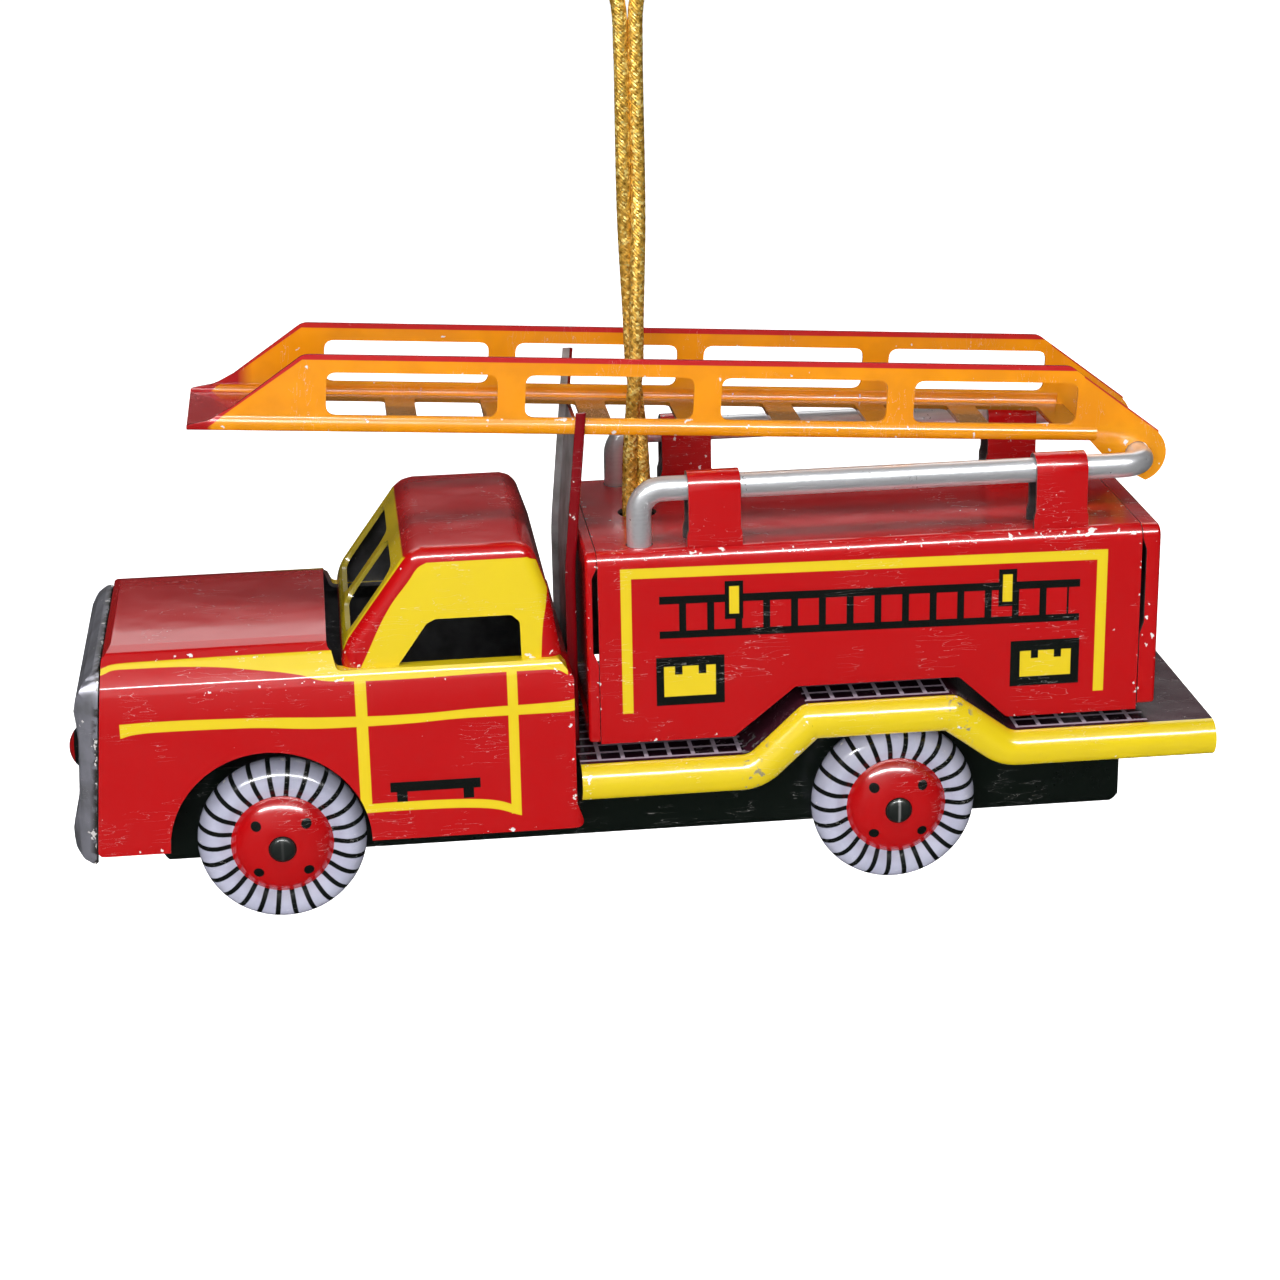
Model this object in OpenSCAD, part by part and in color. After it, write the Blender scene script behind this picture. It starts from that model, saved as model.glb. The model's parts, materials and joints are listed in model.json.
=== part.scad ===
// Lithographed tin ladder truck, a small hanging ornament on a doubled cord.
// The truck points along -X with its left side at -Y. Heights in the named values are
// measured up from the bottom of the wheels, and hang() moves the whole truck below the
// origin, which lies inside the top of the cord loop, where a hook carries it.

/* [Sheet and cord] */
// Thickness of the tin sheet
sheet = 0.35; // [0.25:0.05:0.4]
// Diameter of the braided cord
cord_d = 1.1; // [0.8:0.1:1.1]
// Height of the inside of the cord loop above the bottom of the wheels
loop_h = 82; // [78:1:90]

/* [Front body] */
// Half the width of the body at the sills
body_half_w = 12.2; // [12.1:0.1:12.6]
// Height of the hood
hood_h = 23.4; // [23:0.1:24]
// Height of the belt that the cab stands on
belt_h = 21.4; // [21:0.1:21.6]
// Height of the body's lower edge
sill_h = 7.1; // [6.5:0.1:7.5]
// Radius of the front wheel arches
arch_r = 8; // [7.6:0.1:8.2]

/* [Cab] */
// Height of the cab roof
cab_h = 30.8; // [30:0.1:32]
// Half the width of the cab at the belt
cab_half_w = 10.9; // [10.6:0.1:11]

/* [Box] */
// Length of the box behind the cab
box_len = 44; // [44:0.5:44.5]
// Half the width of the box
box_half_w = 10.7; // [10.5:0.1:11]
// Height of the box roof
box_h = 29.6; // [29:0.1:30]

/* [Wheels] */
// Radius of a wheel
wheel_r = 6.8; // [6.2:0.1:7]
// Radius of the red hub
hub_r = 4.1; // [3.6:0.1:4.4]
// Radius of an axle
axle_r = 0.7; // [0.6:0.05:0.8]
// Distance from the pivot of the ladder back rod forward to the rear axle
rear_axle_back = 20.7; // [20:0.1:21.5]
// Distance between the axles
wheelbase = 50; // [49.5:0.1:50.5]

/* [Ladder] */
// Pitch of the stored ladder, nose up, in degrees
ladder_pitch = 3.6; // [3.4:0.1:3.8]
// Half the width of the ladder over its rails
ladder_half_w = 5.55; // [5.3:0.05:5.6]
// Length from the pivot to the tip
ladder_len = 76.6; // [75:0.1:78]

/* [Hidden] */
$fn = 48;
fit_gap = 0.05;                    // radial clearance of an axle or pivot
clear = 0.15;                      // gap between two sheets that only lie close
seam_top_x = -42.7;                // seam of grille and hood, at the hood's front edge
seam_slope = 0.085;                // forward lean of the seam towards the bottom
seam_gap = 0.02;
grille_x = -44.9;                  // face of the grille
front_axle_x = 41.2 - rear_axle_back - wheelbase;
rear_axle_x = 41.2 - rear_axle_back;
body_rear_x = -5.8;                // back wall of the front body
cowl_x = -25.2;                    // back edge of the hood
box_front_x = -3.6;                // front edge of the box sheet
box_rear_x = box_front_x + box_len;
box_foot_h = 13.6;                 // lower edge of the box sides
box_bend_r = 1.0;                  // rounded long edges of the box roof
pan_half_w = 7.2;                  // chassis pan
pan_h = 4.1;                       // height of its underside
pan_front_x = -39.8;
pan_rear_x = 40.2;
roll_r = 1.5;                      // rolled edge of the running board
board_half_w = 11.7;               // flat part of the running board
rod_r = 1.0;                       // wire of the ladder rails
rod_half_w = 8.5;
rod_h = 34.1;                      // height of its runs, and of the ladder pivot
rod_bend_r = 1.9;
rod_corner_r = 2.2;
pivot_x = 41.2;
strap_gap = 0.05;                  // between a strap and the rod
strap_w = 4.2;
strap_xs = [5.9, 33.9];            // middles of the front and rear straps
cord_x = 0.8;                      // where the cord enters the roof
cord_hole_r = 1.6;
knot_r = 1.9;
knot_h = 27.2;
grille_corner_r = 3.4;             // round front corners of the grille cap, in plan
lamp_r = 2.3;                      // ball that the headlamp domes are cut from
lamp_y = 7.9;
lamp_h = 15;
pan_top_h = 12.05;                 // top of the chassis pan's sides, lower towards the front
pan_rear_top_h = 12.75;
ledge_len = 12;                    // ledges that carry the front body
ledge_front_x = -20;
box_tabs = [[3, 3], [35, 3]];      // tabs under the box sides: middle, length
tab_foot_h = 11.2;
cap_gap = 0.05;                    // an end cap's rim inside the box sheet's outline
cap_tab_len = 1.5;                 // how far a cap's tabs slip into the box
rod_end_h = 28.2;                  // the wire's ends under the roof
strap_foot_h = 28.4;
support_rear_x = -4.95;            // back face of the ladder support's foot
support_knee_h = 27;               // where it starts to lean back
support_lean = 5.3;
support_seat_h = 37.6;
support_half_w = 6.55;
flange_depth = 0.7;
flange_h = 32.4;
ear_depth = 0.6;
left_ear_h = 40;
right_ear_h = 42.2;                // the right ear is left longer
rail_foot = 1.0;                   // underside of the ladder's floor above the pivot
rail_top = 7.2;
bead_r = 0.62;
window_len = 13.4;
window_pitch = 15.6;
first_window = 5.4;                // forward of the pivot
slot_len = 5.4;
slot_pitch = 7.8;
first_slot = 6.1;
hub_face = 12.1;                   // outermost face of the hub from the centre plane
tyre_face = 11.3;
rim_y = 9.5;                       // where the two halves of a wheel meet
wheel_back = 7.7;
cord_sides = 8;
rings_per_span = 2;

// The running board's top line from front to back: along the sill, over the rear wheel,
// and out behind the box.
board_line = [[-5.4, 12.4], [8.2, 12.4], [12.6, 16.5], [25.2, 16.5], [29.8, 13.1], [46.6, 13.1]];

// Route of the cord from the knot, up one side of the loop and down the other,
// measured from the origin.
cord_route = [
  [-0.6, 0, -54.5], [-0.6, 0, -51], [-0.5, -0.35, -47], [-0.2, -0.62, -43], [0.1, -0.65, -39.5],
  [0.2, -0.62, -36], [0.35, -0.52, -32.5], [0.5, -0.3, -29], [0.58, 0, -25], [0.57, 0, -20],
  [0.57, 0, -15], [0.75, 0, -11], [1.9, 0, -7.5], [3, 0, -4.5], [2.9, 0, -2.2], [1.8, 0, -0.2],
  [0, 0, 0.55], [-1.8, 0, -0.2], [-2.9, 0, -2.2], [-3, 0, -4.5], [-1.9, 0, -7.5],
  [-0.75, 0, -11], [-0.57, 0, -15], [-0.57, 0, -20], [-0.58, 0, -25], [-0.5, 0.3, -29],
  [-0.35, 0.52, -32.5], [-0.2, 0.62, -36], [-0.1, 0.65, -39.5], [0.2, 0.62, -43],
  [0.5, 0.35, -47], [0.6, 0, -51], [0.6, 0, -54.5]
];

// ---- helpers ----

// Moves the truck from its wheels to the origin of the loop.
module hang() translate([-cord_x, 0, -loop_h]) children();

// Extrudes an outline drawn as (x, height) across the truck, from y1 to y2.
module across(y1, y2)
  translate([0, y2, 0]) rotate([90, 0, 0]) linear_extrude(y2 - y1) children();

// Extrudes an outline drawn as (y, height) along the truck, from x1 to x2.
module along(x1, x2)
  translate([x1, 0, 0]) rotate([90, 0, 90]) linear_extrude(x2 - x1) children();

// Points of an arc about c, from angle a1 to angle a2.
function arc(c, r, a1, a2, n = 6) =
  [for (i = [0:n]) let (a = a1 + (a2 - a1) * i / n) c + r * [cos(a), sin(a)]];

// A closed outline from its right half, which starts and ends on the centre line.
function both_sides(half) =
  concat(half, [for (i = [len(half) - 1:-1:0]) [-half[i][0], half[i][1]]]);

// Rectangle with round corners, from corner p to corner q.
module round_rect(p, q, r) {
  translate([p[0] + r, p[1]]) square([q[0] - p[0] - 2 * r, q[1] - p[1]]);
  translate([p[0], p[1] + r]) square([q[0] - p[0], q[1] - p[1] - 2 * r]);
  for (x = [p[0] + r, q[0] - r], y = [p[1] + r, q[1] - r]) translate([x, y]) circle(r);
}

// ---- front body ----

// Cross-section of hood and fenders, t inside the outer face.
function body_section(t, low) = both_sides(concat(
  [[0, hood_h + 0.3 - t]],
  arc([9.4, hood_h - 1.6], 1.6 - t, 80, 35, 4),
  arc([body_half_w - 2.4, 18.8], 2.3 - t, 30, 0, 4),
  [[body_half_w - t, 12], [body_half_w - t, low]]));

// The seam's place at height h.
function seam_x(h) = seam_top_x - seam_slope * (hood_h - 0.9 - h);

// Side outline of hood and cab sides, t inside the outer face, reaching ahead of the seam.
function body_outline(t, ahead, low) = [
  [seam_x(low) - ahead, low], [seam_x(hood_h - 0.9) - ahead, hood_h - 0.9 - t],
  [seam_top_x + 0.8, hood_h - 0.2 - t],
  [seam_top_x + 2.6, hood_h + 0.3 - t], [cowl_x + 0.4, hood_h + 0.3 - t], [cowl_x + 1.2, belt_h - t],
  [body_rear_x - 1.6, belt_h - t], [body_rear_x - 0.6, belt_h - 0.5 - t],
  [body_rear_x - t, belt_h - 1.8], [body_rear_x - t, sill_h + 2], [body_rear_x + 0.6 - t, low]];

module body_shell() color("red") hang()
  difference() {
    intersection() {
      across(-15, 15) polygon(body_outline(0, 0, sill_h));
      along(-50, 0) polygon(body_section(0, sill_h));
    }
    intersection() {
      across(-15, 15) polygon(body_outline(sheet, 4, sill_h - 1));
      along(-50, 0) polygon(body_section(sheet, sill_h - 1));
    }
    translate([cowl_x, -10.3, belt_h - 2])
      cube([body_rear_x - sheet - 0.8 - cowl_x, 20.6, 6]);
    across(-15, 15) translate([front_axle_x - 0.8, sill_h + 0.1]) circle(arch_r);
    // notch in the back wall for the chassis pan
    translate([body_rear_x - 1, -pan_half_w - clear, 0])
      cube([3, 2 * (pan_half_w + clear), pan_top_h + clear]);
  }

// Side outline of the grille cap, t inside, open towards the seam by back, with the
// bumper bead at the bottom.
function grille_outline(t, back) = [
  [seam_x(hood_h - 0.9) - seam_gap + back, hood_h - 0.9 - t], [seam_top_x - 0.8, hood_h - 1.2 - t],
  [grille_x + 0.8 + 0.7 * t, hood_h - 1.7 - 0.7 * t], [grille_x + 0.4 + t, hood_h - 2.6],
  [grille_x + t, hood_h - 4], [grille_x - 0.2 + t, 12.4], [grille_x - 0.3 + t, 11.6],
  [grille_x - 0.8 + t, 10.6], [grille_x - 1.1 + t, 9.4], [grille_x - 1.1 + t, 8.2],
  [grille_x - 0.8 + t, 7.2 + t / 2], [grille_x - 0.2, 6.5 + t],
  [seam_x(6.4) - seam_gap + back, 6.4 + t]];

// Plan of the grille cap, round at its two front corners.
module grille_plan(t) linear_extrude(60, center = true) {
  corner_x = grille_x - 1.1 + grille_corner_r;
  corner_y = body_half_w - grille_corner_r;
  translate([corner_x, t - body_half_w]) square([9, 2 * (body_half_w - t)]);
  translate([corner_x - grille_corner_r + t, -corner_y]) square([9, 2 * corner_y]);
  for (s = [-1, 1]) translate([corner_x, s * corner_y]) circle(grille_corner_r - t);
}

module grille_front() color("darkgray") hang() {
  difference() {
    intersection() {
      across(-15, 15) polygon(grille_outline(0, 0));
      along(-50, -30) polygon(body_section(0, 6));
      grille_plan(0);
    }
    intersection() {
      across(-15, 15) polygon(grille_outline(sheet, 3));
      along(-50, -30) polygon(body_section(sheet, 5));
      grille_plan(sheet);
    }
  }
  // pressed headlamps
  for (s = [-1, 1])
    intersection() {
      translate([grille_x + 1.2, s * lamp_y, lamp_h]) sphere(lamp_r);
      translate([grille_x - 3.8, s * lamp_y - 4, lamp_h - 4]) cube([4, 8, 8]);
    }
}

// ---- cab ----

function cab_outline(t, low) = [
  [-23.9 + 1.25 * t, low], [-23.9 + 1.25 * t, 22.8], [-18.9 + 1.1 * t, cab_h - 1.2],
  [-18.3 + t, cab_h - 0.5 - t / 2], [-17.3, cab_h - t], [-9.7, cab_h - t],
  [-8.8 - t / 2, cab_h - 0.4 - t], [-8.2 - t, cab_h - 1.4],
  [-7.3 - t, 27], [-6.5 - t, low]];

function cab_section(t, low) = both_sides(concat(
  [[0, cab_h + 0.2 - t]],
  arc([cab_half_w - 1.8, cab_h - 1.2], 1.2 - t, 85, 5, 5),
  [[cab_half_w - t, low]]));

module cab_top() color("red") hang()
  difference() {
    intersection() {
      across(-15, 15) polygon(cab_outline(0, belt_h));
      along(-30, 0) polygon(cab_section(0, belt_h));
    }
    intersection() {
      across(-15, 15) polygon(cab_outline(sheet, belt_h - 1));
      along(-30, 0) polygon(cab_section(sheet, belt_h - 1));
    }
    // side windows, open at the belt
    across(-15, 15) polygon([[-19.5, belt_h - 1], [-19.5, belt_h], [-17.2, 24.7], [-16.5, 25.1],
      [-10.6, 25.1], [-10, 24.7], [-9.8, belt_h], [-9.8, belt_h - 1]]);
    // two windscreen panes
    for (s = [-1, 1])
      across(s > 0 ? 0.5 : -8.6, s > 0 ? 8.6 : -0.5)
        polygon([[-25.5, 23.6], [-20.6, 29.9], [-18.3, 28.6], [-22.9, 22.6]]);
  }

// ---- chassis ----

module pan_section(t) polygon(both_sides(concat(
  [[0, pan_h + t]], arc([pan_half_w - 0.8, pan_h + 0.8], 0.8 - t, -90, 0, 4),
  [[pan_half_w - t, 20]])));

module chassis_pan() color([0.03, 0.06, 0.04]) hang()
  difference() {
    union() {
      intersection() {
        difference() {
          along(pan_front_x, pan_rear_x) pan_section(0);
          along(pan_front_x + sheet, pan_rear_x - sheet) pan_section(sheet);
        }
        across(-9, 9) polygon([[pan_front_x - 1, 0], [pan_front_x - 1, pan_top_h], [10, pan_top_h],
          [14, pan_rear_top_h], [pan_rear_x + 1, pan_rear_top_h], [pan_rear_x + 1, 0]]);
      }
      for (y = [sheet - body_half_w, pan_half_w])
        translate([ledge_front_x, y, sill_h + 0.2])
          cube([ledge_len, body_half_w - sheet - pan_half_w, sheet]);
      translate([pan_front_x - 4.6, -5, sill_h + 0.2]) cube([4.6, 10, sheet]);
    }
    for (x = [front_axle_x, rear_axle_x])
      translate([x, 0, wheel_r]) rotate([90, 0, 0])
        cylinder(r = axle_r + fit_gap, h = 40, center = true);
  }

// ---- running board ----

// Section (y, height) of the board with its rolled edges, its top at zero.
board_section = concat(
  arc([-board_half_w, -roll_r], roll_r, 270, 90, 8), arc([board_half_w, -roll_r], roll_r, 90, -90, 8),
  arc([board_half_w, -roll_r], roll_r - sheet, -90, 90, 8),
  arc([-board_half_w, -roll_r], roll_r - sheet, 90, 270, 8));

// Slope of the board's stretch i, and the mitre where stretches i - 1 and i meet.
function slope(i) = let (d = board_line[i + 1] - board_line[i]) atan2(d[1], d[0]);
function is_end(i) = i == 0 || i == len(board_line) - 1;
function mitre(i) = is_end(i) ? 90 : (slope(i - 1) + slope(i)) / 2 + 90;
function mitre_scale(i) = is_end(i) ? 1 : 1 / cos((slope(i) - slope(i - 1)) / 2);
function mitre_point(i, h) = board_line[i] + h * mitre_scale(i) * [cos(mitre(i)), sin(mitre(i))];

// The section swept along the board line.
module swept_board() {
  count = len(board_section);
  last = len(board_line) - 1;
  end_quads = [for (k = [0:count / 2 - 2]) [k, k + 1, count - 2 - k, count - 1 - k]];
  polyhedron(
    points = [for (i = [0:last], p = board_section)
      let (q = mitre_point(i, p[1])) [q[0], p[0], q[1]]],
    faces = concat(
      [for (q = end_quads) [q[3], q[2], q[1], q[0]]],
      [for (i = [0:last - 1], k = [0:count - 1])
        let (a = i * count, b = a + count, m = (k + 1) % count) [a + k, a + m, b + m, b + k]],
      [for (q = end_quads) [for (j = q) last * count + j]]));
}

module running_board() color([0.25, 0.05, 0.12]) hang()
  difference() {
    swept_board();
    for (tab = box_tabs, s = [-1, 1])
      translate([tab[0], s * (box_half_w - sheet / 2), 13])
        cube([tab[1] + 0.4, sheet + 0.3, 4], center = true);
  }

// ---- box ----

module box_section(t, foot) {
  w = box_half_w - t;
  r = box_bend_r - t;
  translate([-w, foot]) square([2 * w, box_h - box_bend_r - foot]);
  translate([r - w, foot]) square([2 * (w - r), box_h - t - foot]);
  for (s = [-1, 1]) translate([s * (w - r), box_h - box_bend_r]) circle(r);
}

module box_shell() color("red") hang() {
  difference() {
    along(box_front_x, box_rear_x) box_section(0, box_foot_h);
    along(box_front_x - 1, box_rear_x + 1) box_section(sheet, box_foot_h - 1);
    // raised over the rear wheels, and a little higher behind them
    across(-15, 15) polygon([[7.2, box_foot_h - 1], [7.2, box_foot_h], [12.2, 17.6], [25.6, 17.6],
      [29.6, box_foot_h + 0.3], [60, box_foot_h + 0.3], [60, box_foot_h - 1]]);
    translate([cord_x, 0, box_h]) cylinder(r = cord_hole_r, h = 3, center = true);
    for (s = [-1, 1]) translate([0, s * rod_half_w, box_h])
      cylinder(r = rod_r + fit_gap, h = 3, center = true);
    for (x = strap_xs, s = [-1, 1], leg = [-1, 1])
      translate([x, s * rod_half_w + leg * (rod_r + strap_gap + sheet / 2), box_h])
        cube([strap_w + 0.2, sheet + 0.1, 3], center = true);
  }
  for (tab = box_tabs, s = [-1, 1])
    translate([tab[0] - tab[1] / 2, s * (box_half_w - sheet / 2) - sheet / 2, tab_foot_h])
      cube([tab[1], sheet, box_foot_h + 1 - tab_foot_h]);
}

// A pressed end cap: a plate at x with a rim reaching depth towards the box, and three
// tabs that slip inside the box sheet.
module box_cap(x, depth, foot, dir) {
  rim_x = x - dir * depth;
  inner_x = x - dir * sheet;
  tab_x = rim_x - dir * cap_tab_len;
  difference() {
    along(min(x, rim_x), max(x, rim_x)) box_section(cap_gap, foot);
    along(min(inner_x, rim_x - dir), max(inner_x, rim_x - dir))
      box_section(sheet + cap_gap, foot - 1);
  }
  for (s = [-1, 1])
    translate([min(inner_x, tab_x), s * (box_half_w - 1.5 * sheet - 0.1) - sheet / 2, 21])
      cube([abs(inner_x - tab_x), sheet, 4]);
  translate([min(inner_x, tab_x), 3.5, box_h - 2 * sheet - 0.1])
    cube([abs(inner_x - tab_x), 4, sheet]);
}

module box_front_cap() color("firebrick") hang() box_cap(-4.55, 0.9, box_foot_h, -1);
module box_rear_cap() color("red") hang() box_cap(box_rear_x + 1.6, 1.45, 14.2, 1);

// ---- ladder support ----

// A slice of the upright's side outline, from depth a to depth b in front of its back face.
module support_strip(a, b, top) {
  run = (top - support_knee_h) * tan(support_lean);
  foot = board_line[0][1];
  polygon([[support_rear_x - b, foot], [support_rear_x - a, foot],
    [support_rear_x - a, support_knee_h], [support_rear_x - a + run, top],
    [support_rear_x - b + run, top], [support_rear_x - b, support_knee_h]]);
}

module ladder_support() color("darkred") hang() {
  across(-support_half_w, support_half_w) support_strip(0, sheet, support_seat_h);
  for (y = [-support_half_w, support_half_w - sheet])
    across(y, y + sheet) support_strip(0, flange_depth, flange_h);
  // ears beside the ladder
  across(-support_half_w, -support_half_w + sheet) support_strip(0, ear_depth, left_ear_h);
  across(support_half_w - sheet, support_half_w) support_strip(0, ear_depth, right_ear_h);
}

// ---- ladder ----

// Drawn forward of the pivot along +x and flipped into place by ladder_place().
module ladder_place() hang()
  translate([pivot_x, 0, rod_h]) rotate([0, ladder_pitch, 0]) mirror([1, 0, 0]) children();

module rail_outline() difference() {
  union() {
    polygon([[-1.7, 1.9], [6.2, rail_top], [67.4, rail_top], [73, 2.9], [74.6, 1.9],
      [ladder_len, 1.4], [ladder_len, rail_foot], [3.6, rail_foot], [2.2, 0], [-2, 0]]);
    circle(2.4);
  }
  circle(rod_r + fit_gap);
  for (i = [0:3])
    round_rect([first_window + i * window_pitch, 2.3],
      [first_window + i * window_pitch + window_len, 5.8], 0.8);
}

module ladder() color("orange") ladder_place() {
  for (s = [-1, 1]) {
    translate([0, s > 0 ? ladder_half_w : -ladder_half_w + sheet, 0]) rotate([90, 0, 0])
      linear_extrude(sheet) rail_outline();
    // rounded bead along the foot of each rail
    translate([3.6, s * (ladder_half_w - 0.3), rail_foot + bead_r]) rotate([0, 90, 0])
      cylinder(r = bead_r, h = ladder_len - 5);
  }
  // floor with its rungs
  difference() {
    translate([3.6, -ladder_half_w + 0.3, rail_foot])
      cube([ladder_len - 3.6, 2 * ladder_half_w - 0.6, sheet]);
    for (i = [0:7])
      translate([first_slot + i * slot_pitch, -4, rail_foot - 1]) cube([slot_len, 8, 3]);
  }
}

// ---- ladder rails and straps ----

// One side of the bent wire, from its end in the box to the middle of the cross run.
module half_rod(s) {
  translate([0, s * rod_half_w, rod_end_h])
    cylinder(r = rod_r, h = rod_h - rod_bend_r - rod_end_h);
  translate([rod_bend_r, s * rod_half_w, rod_h - rod_bend_r])
    rotate([90, 0, 0]) rotate([0, 0, 90])
      rotate_extrude(angle = 90) translate([rod_bend_r, 0]) circle(rod_r);
  translate([rod_bend_r, s * rod_half_w, rod_h]) rotate([0, 90, 0])
    cylinder(r = rod_r, h = pivot_x - rod_corner_r - rod_bend_r);
  translate([pivot_x - rod_corner_r, s * (rod_half_w - rod_corner_r), rod_h])
    rotate([0, 0, s > 0 ? 0 : -90])
      rotate_extrude(angle = 90) translate([rod_corner_r, 0]) circle(rod_r);
}

module rail_rod() color("silver") hang() {
  for (s = [-1, 1]) half_rod(s);
  translate([pivot_x, 0, rod_h]) rotate([90, 0, 0])
    cylinder(r = rod_r, h = 2 * (rod_half_w - rod_corner_r), center = true);
}

module strap(x, s) color("red") hang()
  along(x - strap_w / 2, x + strap_w / 2) translate([s * rod_half_w, 0])
    difference() {
      union() {
        translate([0, rod_h]) circle(rod_r + strap_gap + sheet);
        translate([-rod_r - strap_gap - sheet, strap_foot_h])
          square([2 * (rod_r + strap_gap + sheet), rod_h - strap_foot_h]);
      }
      translate([0, rod_h]) circle(rod_r + strap_gap);
      translate([-rod_r - strap_gap, strap_foot_h - 1])
        square([2 * (rod_r + strap_gap), rod_h - strap_foot_h + 1]);
    }

module strap_front_left() strap(strap_xs[0], -1);
module strap_front_right() strap(strap_xs[0], 1);
module strap_rear_left() strap(strap_xs[1], -1);
module strap_rear_right() strap(strap_xs[1], 1);

// ---- wheels and axles ----

// Half section (radius, distance from the centre plane) of the pressed outer disc, t inside.
function face_line(t) = concat(
  [[axle_r + 0.02, hub_face - t], [1.6, hub_face - t]],
  arc([hub_r - 1.1, hub_face - 0.95], 0.95 - t, 80, 0, 4),
  [[hub_r + 0.1 - t, tyre_face - 0.25 - t], [hub_r + 0.5, tyre_face - 0.2 - t]],
  arc([wheel_r - 1.5, tyre_face - 1.5], 1.5 - t, 85, 0, 6),
  [[wheel_r - t, rim_y]]);

// The flatter inner disc.
function back_line(t) = concat(
  [[axle_r + 0.02, wheel_back + t], [wheel_r - 1.4, wheel_back + t]],
  arc([wheel_r - 1.4, wheel_back + 1.4], 1.4 - t, -80, 0, 5),
  [[wheel_r - t, rim_y - 0.02]]);

function reversed(v) = [for (i = [len(v) - 1:-1:0]) v[i]];

// Turns a half section into a disc on the axle at x, on side s.
module wheel_disc(x, s, line_out, line_in)
  translate([x, 0, wheel_r]) rotate([s > 0 ? -90 : 90, 0, 0])
    rotate_extrude($fn = 72) polygon(concat(line_out, reversed(line_in)));

module wheel_face(x, s) color("lavender") hang() wheel_disc(x, s, face_line(0), face_line(sheet));
module wheel_back(x, s) color("lavender") hang() wheel_disc(x, s, back_line(0), back_line(sheet));

module axle(x) color("dimgray") hang()
  translate([x, 0, wheel_r]) rotate([90, 0, 0]) {
    cylinder(r = axle_r, h = 2 * hub_face + 0.2, center = true);
    for (s = [-1, 1]) translate([0, 0, s * (hub_face + 0.25)])
      cylinder(r = axle_r + 0.35, h = 0.4, center = true);
  }

module front_axle() axle(front_axle_x);
module rear_axle() axle(rear_axle_x);
module front_left_wheel_face() wheel_face(front_axle_x, -1);
module front_left_wheel_back() wheel_back(front_axle_x, -1);
module front_right_wheel_face() wheel_face(front_axle_x, 1);
module front_right_wheel_back() wheel_back(front_axle_x, 1);
module rear_left_wheel_face() wheel_face(rear_axle_x, -1);
module rear_left_wheel_back() wheel_back(rear_axle_x, -1);
module rear_right_wheel_face() wheel_face(rear_axle_x, 1);
module rear_right_wheel_back() wheel_back(rear_axle_x, 1);

// ---- cord ----

// Catmull-Rom point between route points i and i + 1.
function route_at(i, u) =
  let (n = len(cord_route) - 1,
       a = cord_route[max(i - 1, 0)], b = cord_route[i],
       c = cord_route[min(i + 1, n)], d = cord_route[min(i + 2, n)])
  0.5 * (2 * b + (c - a) * u + (2 * a - 5 * b + 4 * c - d) * u * u
    + (3 * b - a - 3 * c + d) * u * u * u);

cord_points = concat(
  [for (i = [0:len(cord_route) - 2], k = [0:rings_per_span - 1]) route_at(i, k / rings_per_span)],
  [cord_route[len(cord_route) - 1]]);

function tangent(i) = let (n = len(cord_points) - 1,
  d = cord_points[min(i + 1, n)] - cord_points[max(i - 1, 0)]) d / norm(d);

// Ring of points round cord point i.
function ring(i) = let (t = tangent(i), u0 = [0, 1, 0] - t[1] * t, u = u0 / norm(u0), v = cross(t, u))
  [for (k = [0:cord_sides - 1]) let (a = 360 * (k + 0.5) / cord_sides)
    cord_points[i] + cord_d / 2 * (cos(a) * u + sin(a) * v)];

module hanging_cord() color("goldenrod")
  polyhedron(
    points = [for (i = [0:len(cord_points) - 1]) each ring(i)],
    faces = concat(
      [[for (k = [0:cord_sides - 1]) k]],
      [for (i = [0:len(cord_points) - 2], k = [0:cord_sides - 1])
        let (a = i * cord_sides, b = a + cord_sides, m = (k + 1) % cord_sides)
          [a + k, b + k, b + m, a + m]],
      [[for (k = [cord_sides - 1:-1:0]) (len(cord_points) - 1) * cord_sides + k]]));

module cord_knot() color("goldenrod") hang() translate([cord_x, 0, knot_h]) {
  sphere(knot_r);
  translate([0, 0, -0.6]) rotate_extrude() translate([1.3, 0]) circle(0.8);
}

body_shell();
grille_front();
cab_top();
chassis_pan();
running_board();
box_shell();
box_front_cap();
box_rear_cap();
ladder_support();
ladder();
rail_rod();
strap_front_left();
strap_front_right();
strap_rear_left();
strap_rear_right();
front_axle();
rear_axle();
front_left_wheel_face();
front_left_wheel_back();
front_right_wheel_face();
front_right_wheel_back();
rear_left_wheel_face();
rear_left_wheel_back();
rear_right_wheel_face();
rear_right_wheel_back();
hanging_cord();
cord_knot();
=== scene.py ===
import json
import math

import bmesh
import bpy
from mathutils import Euler, Matrix, Vector


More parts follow.
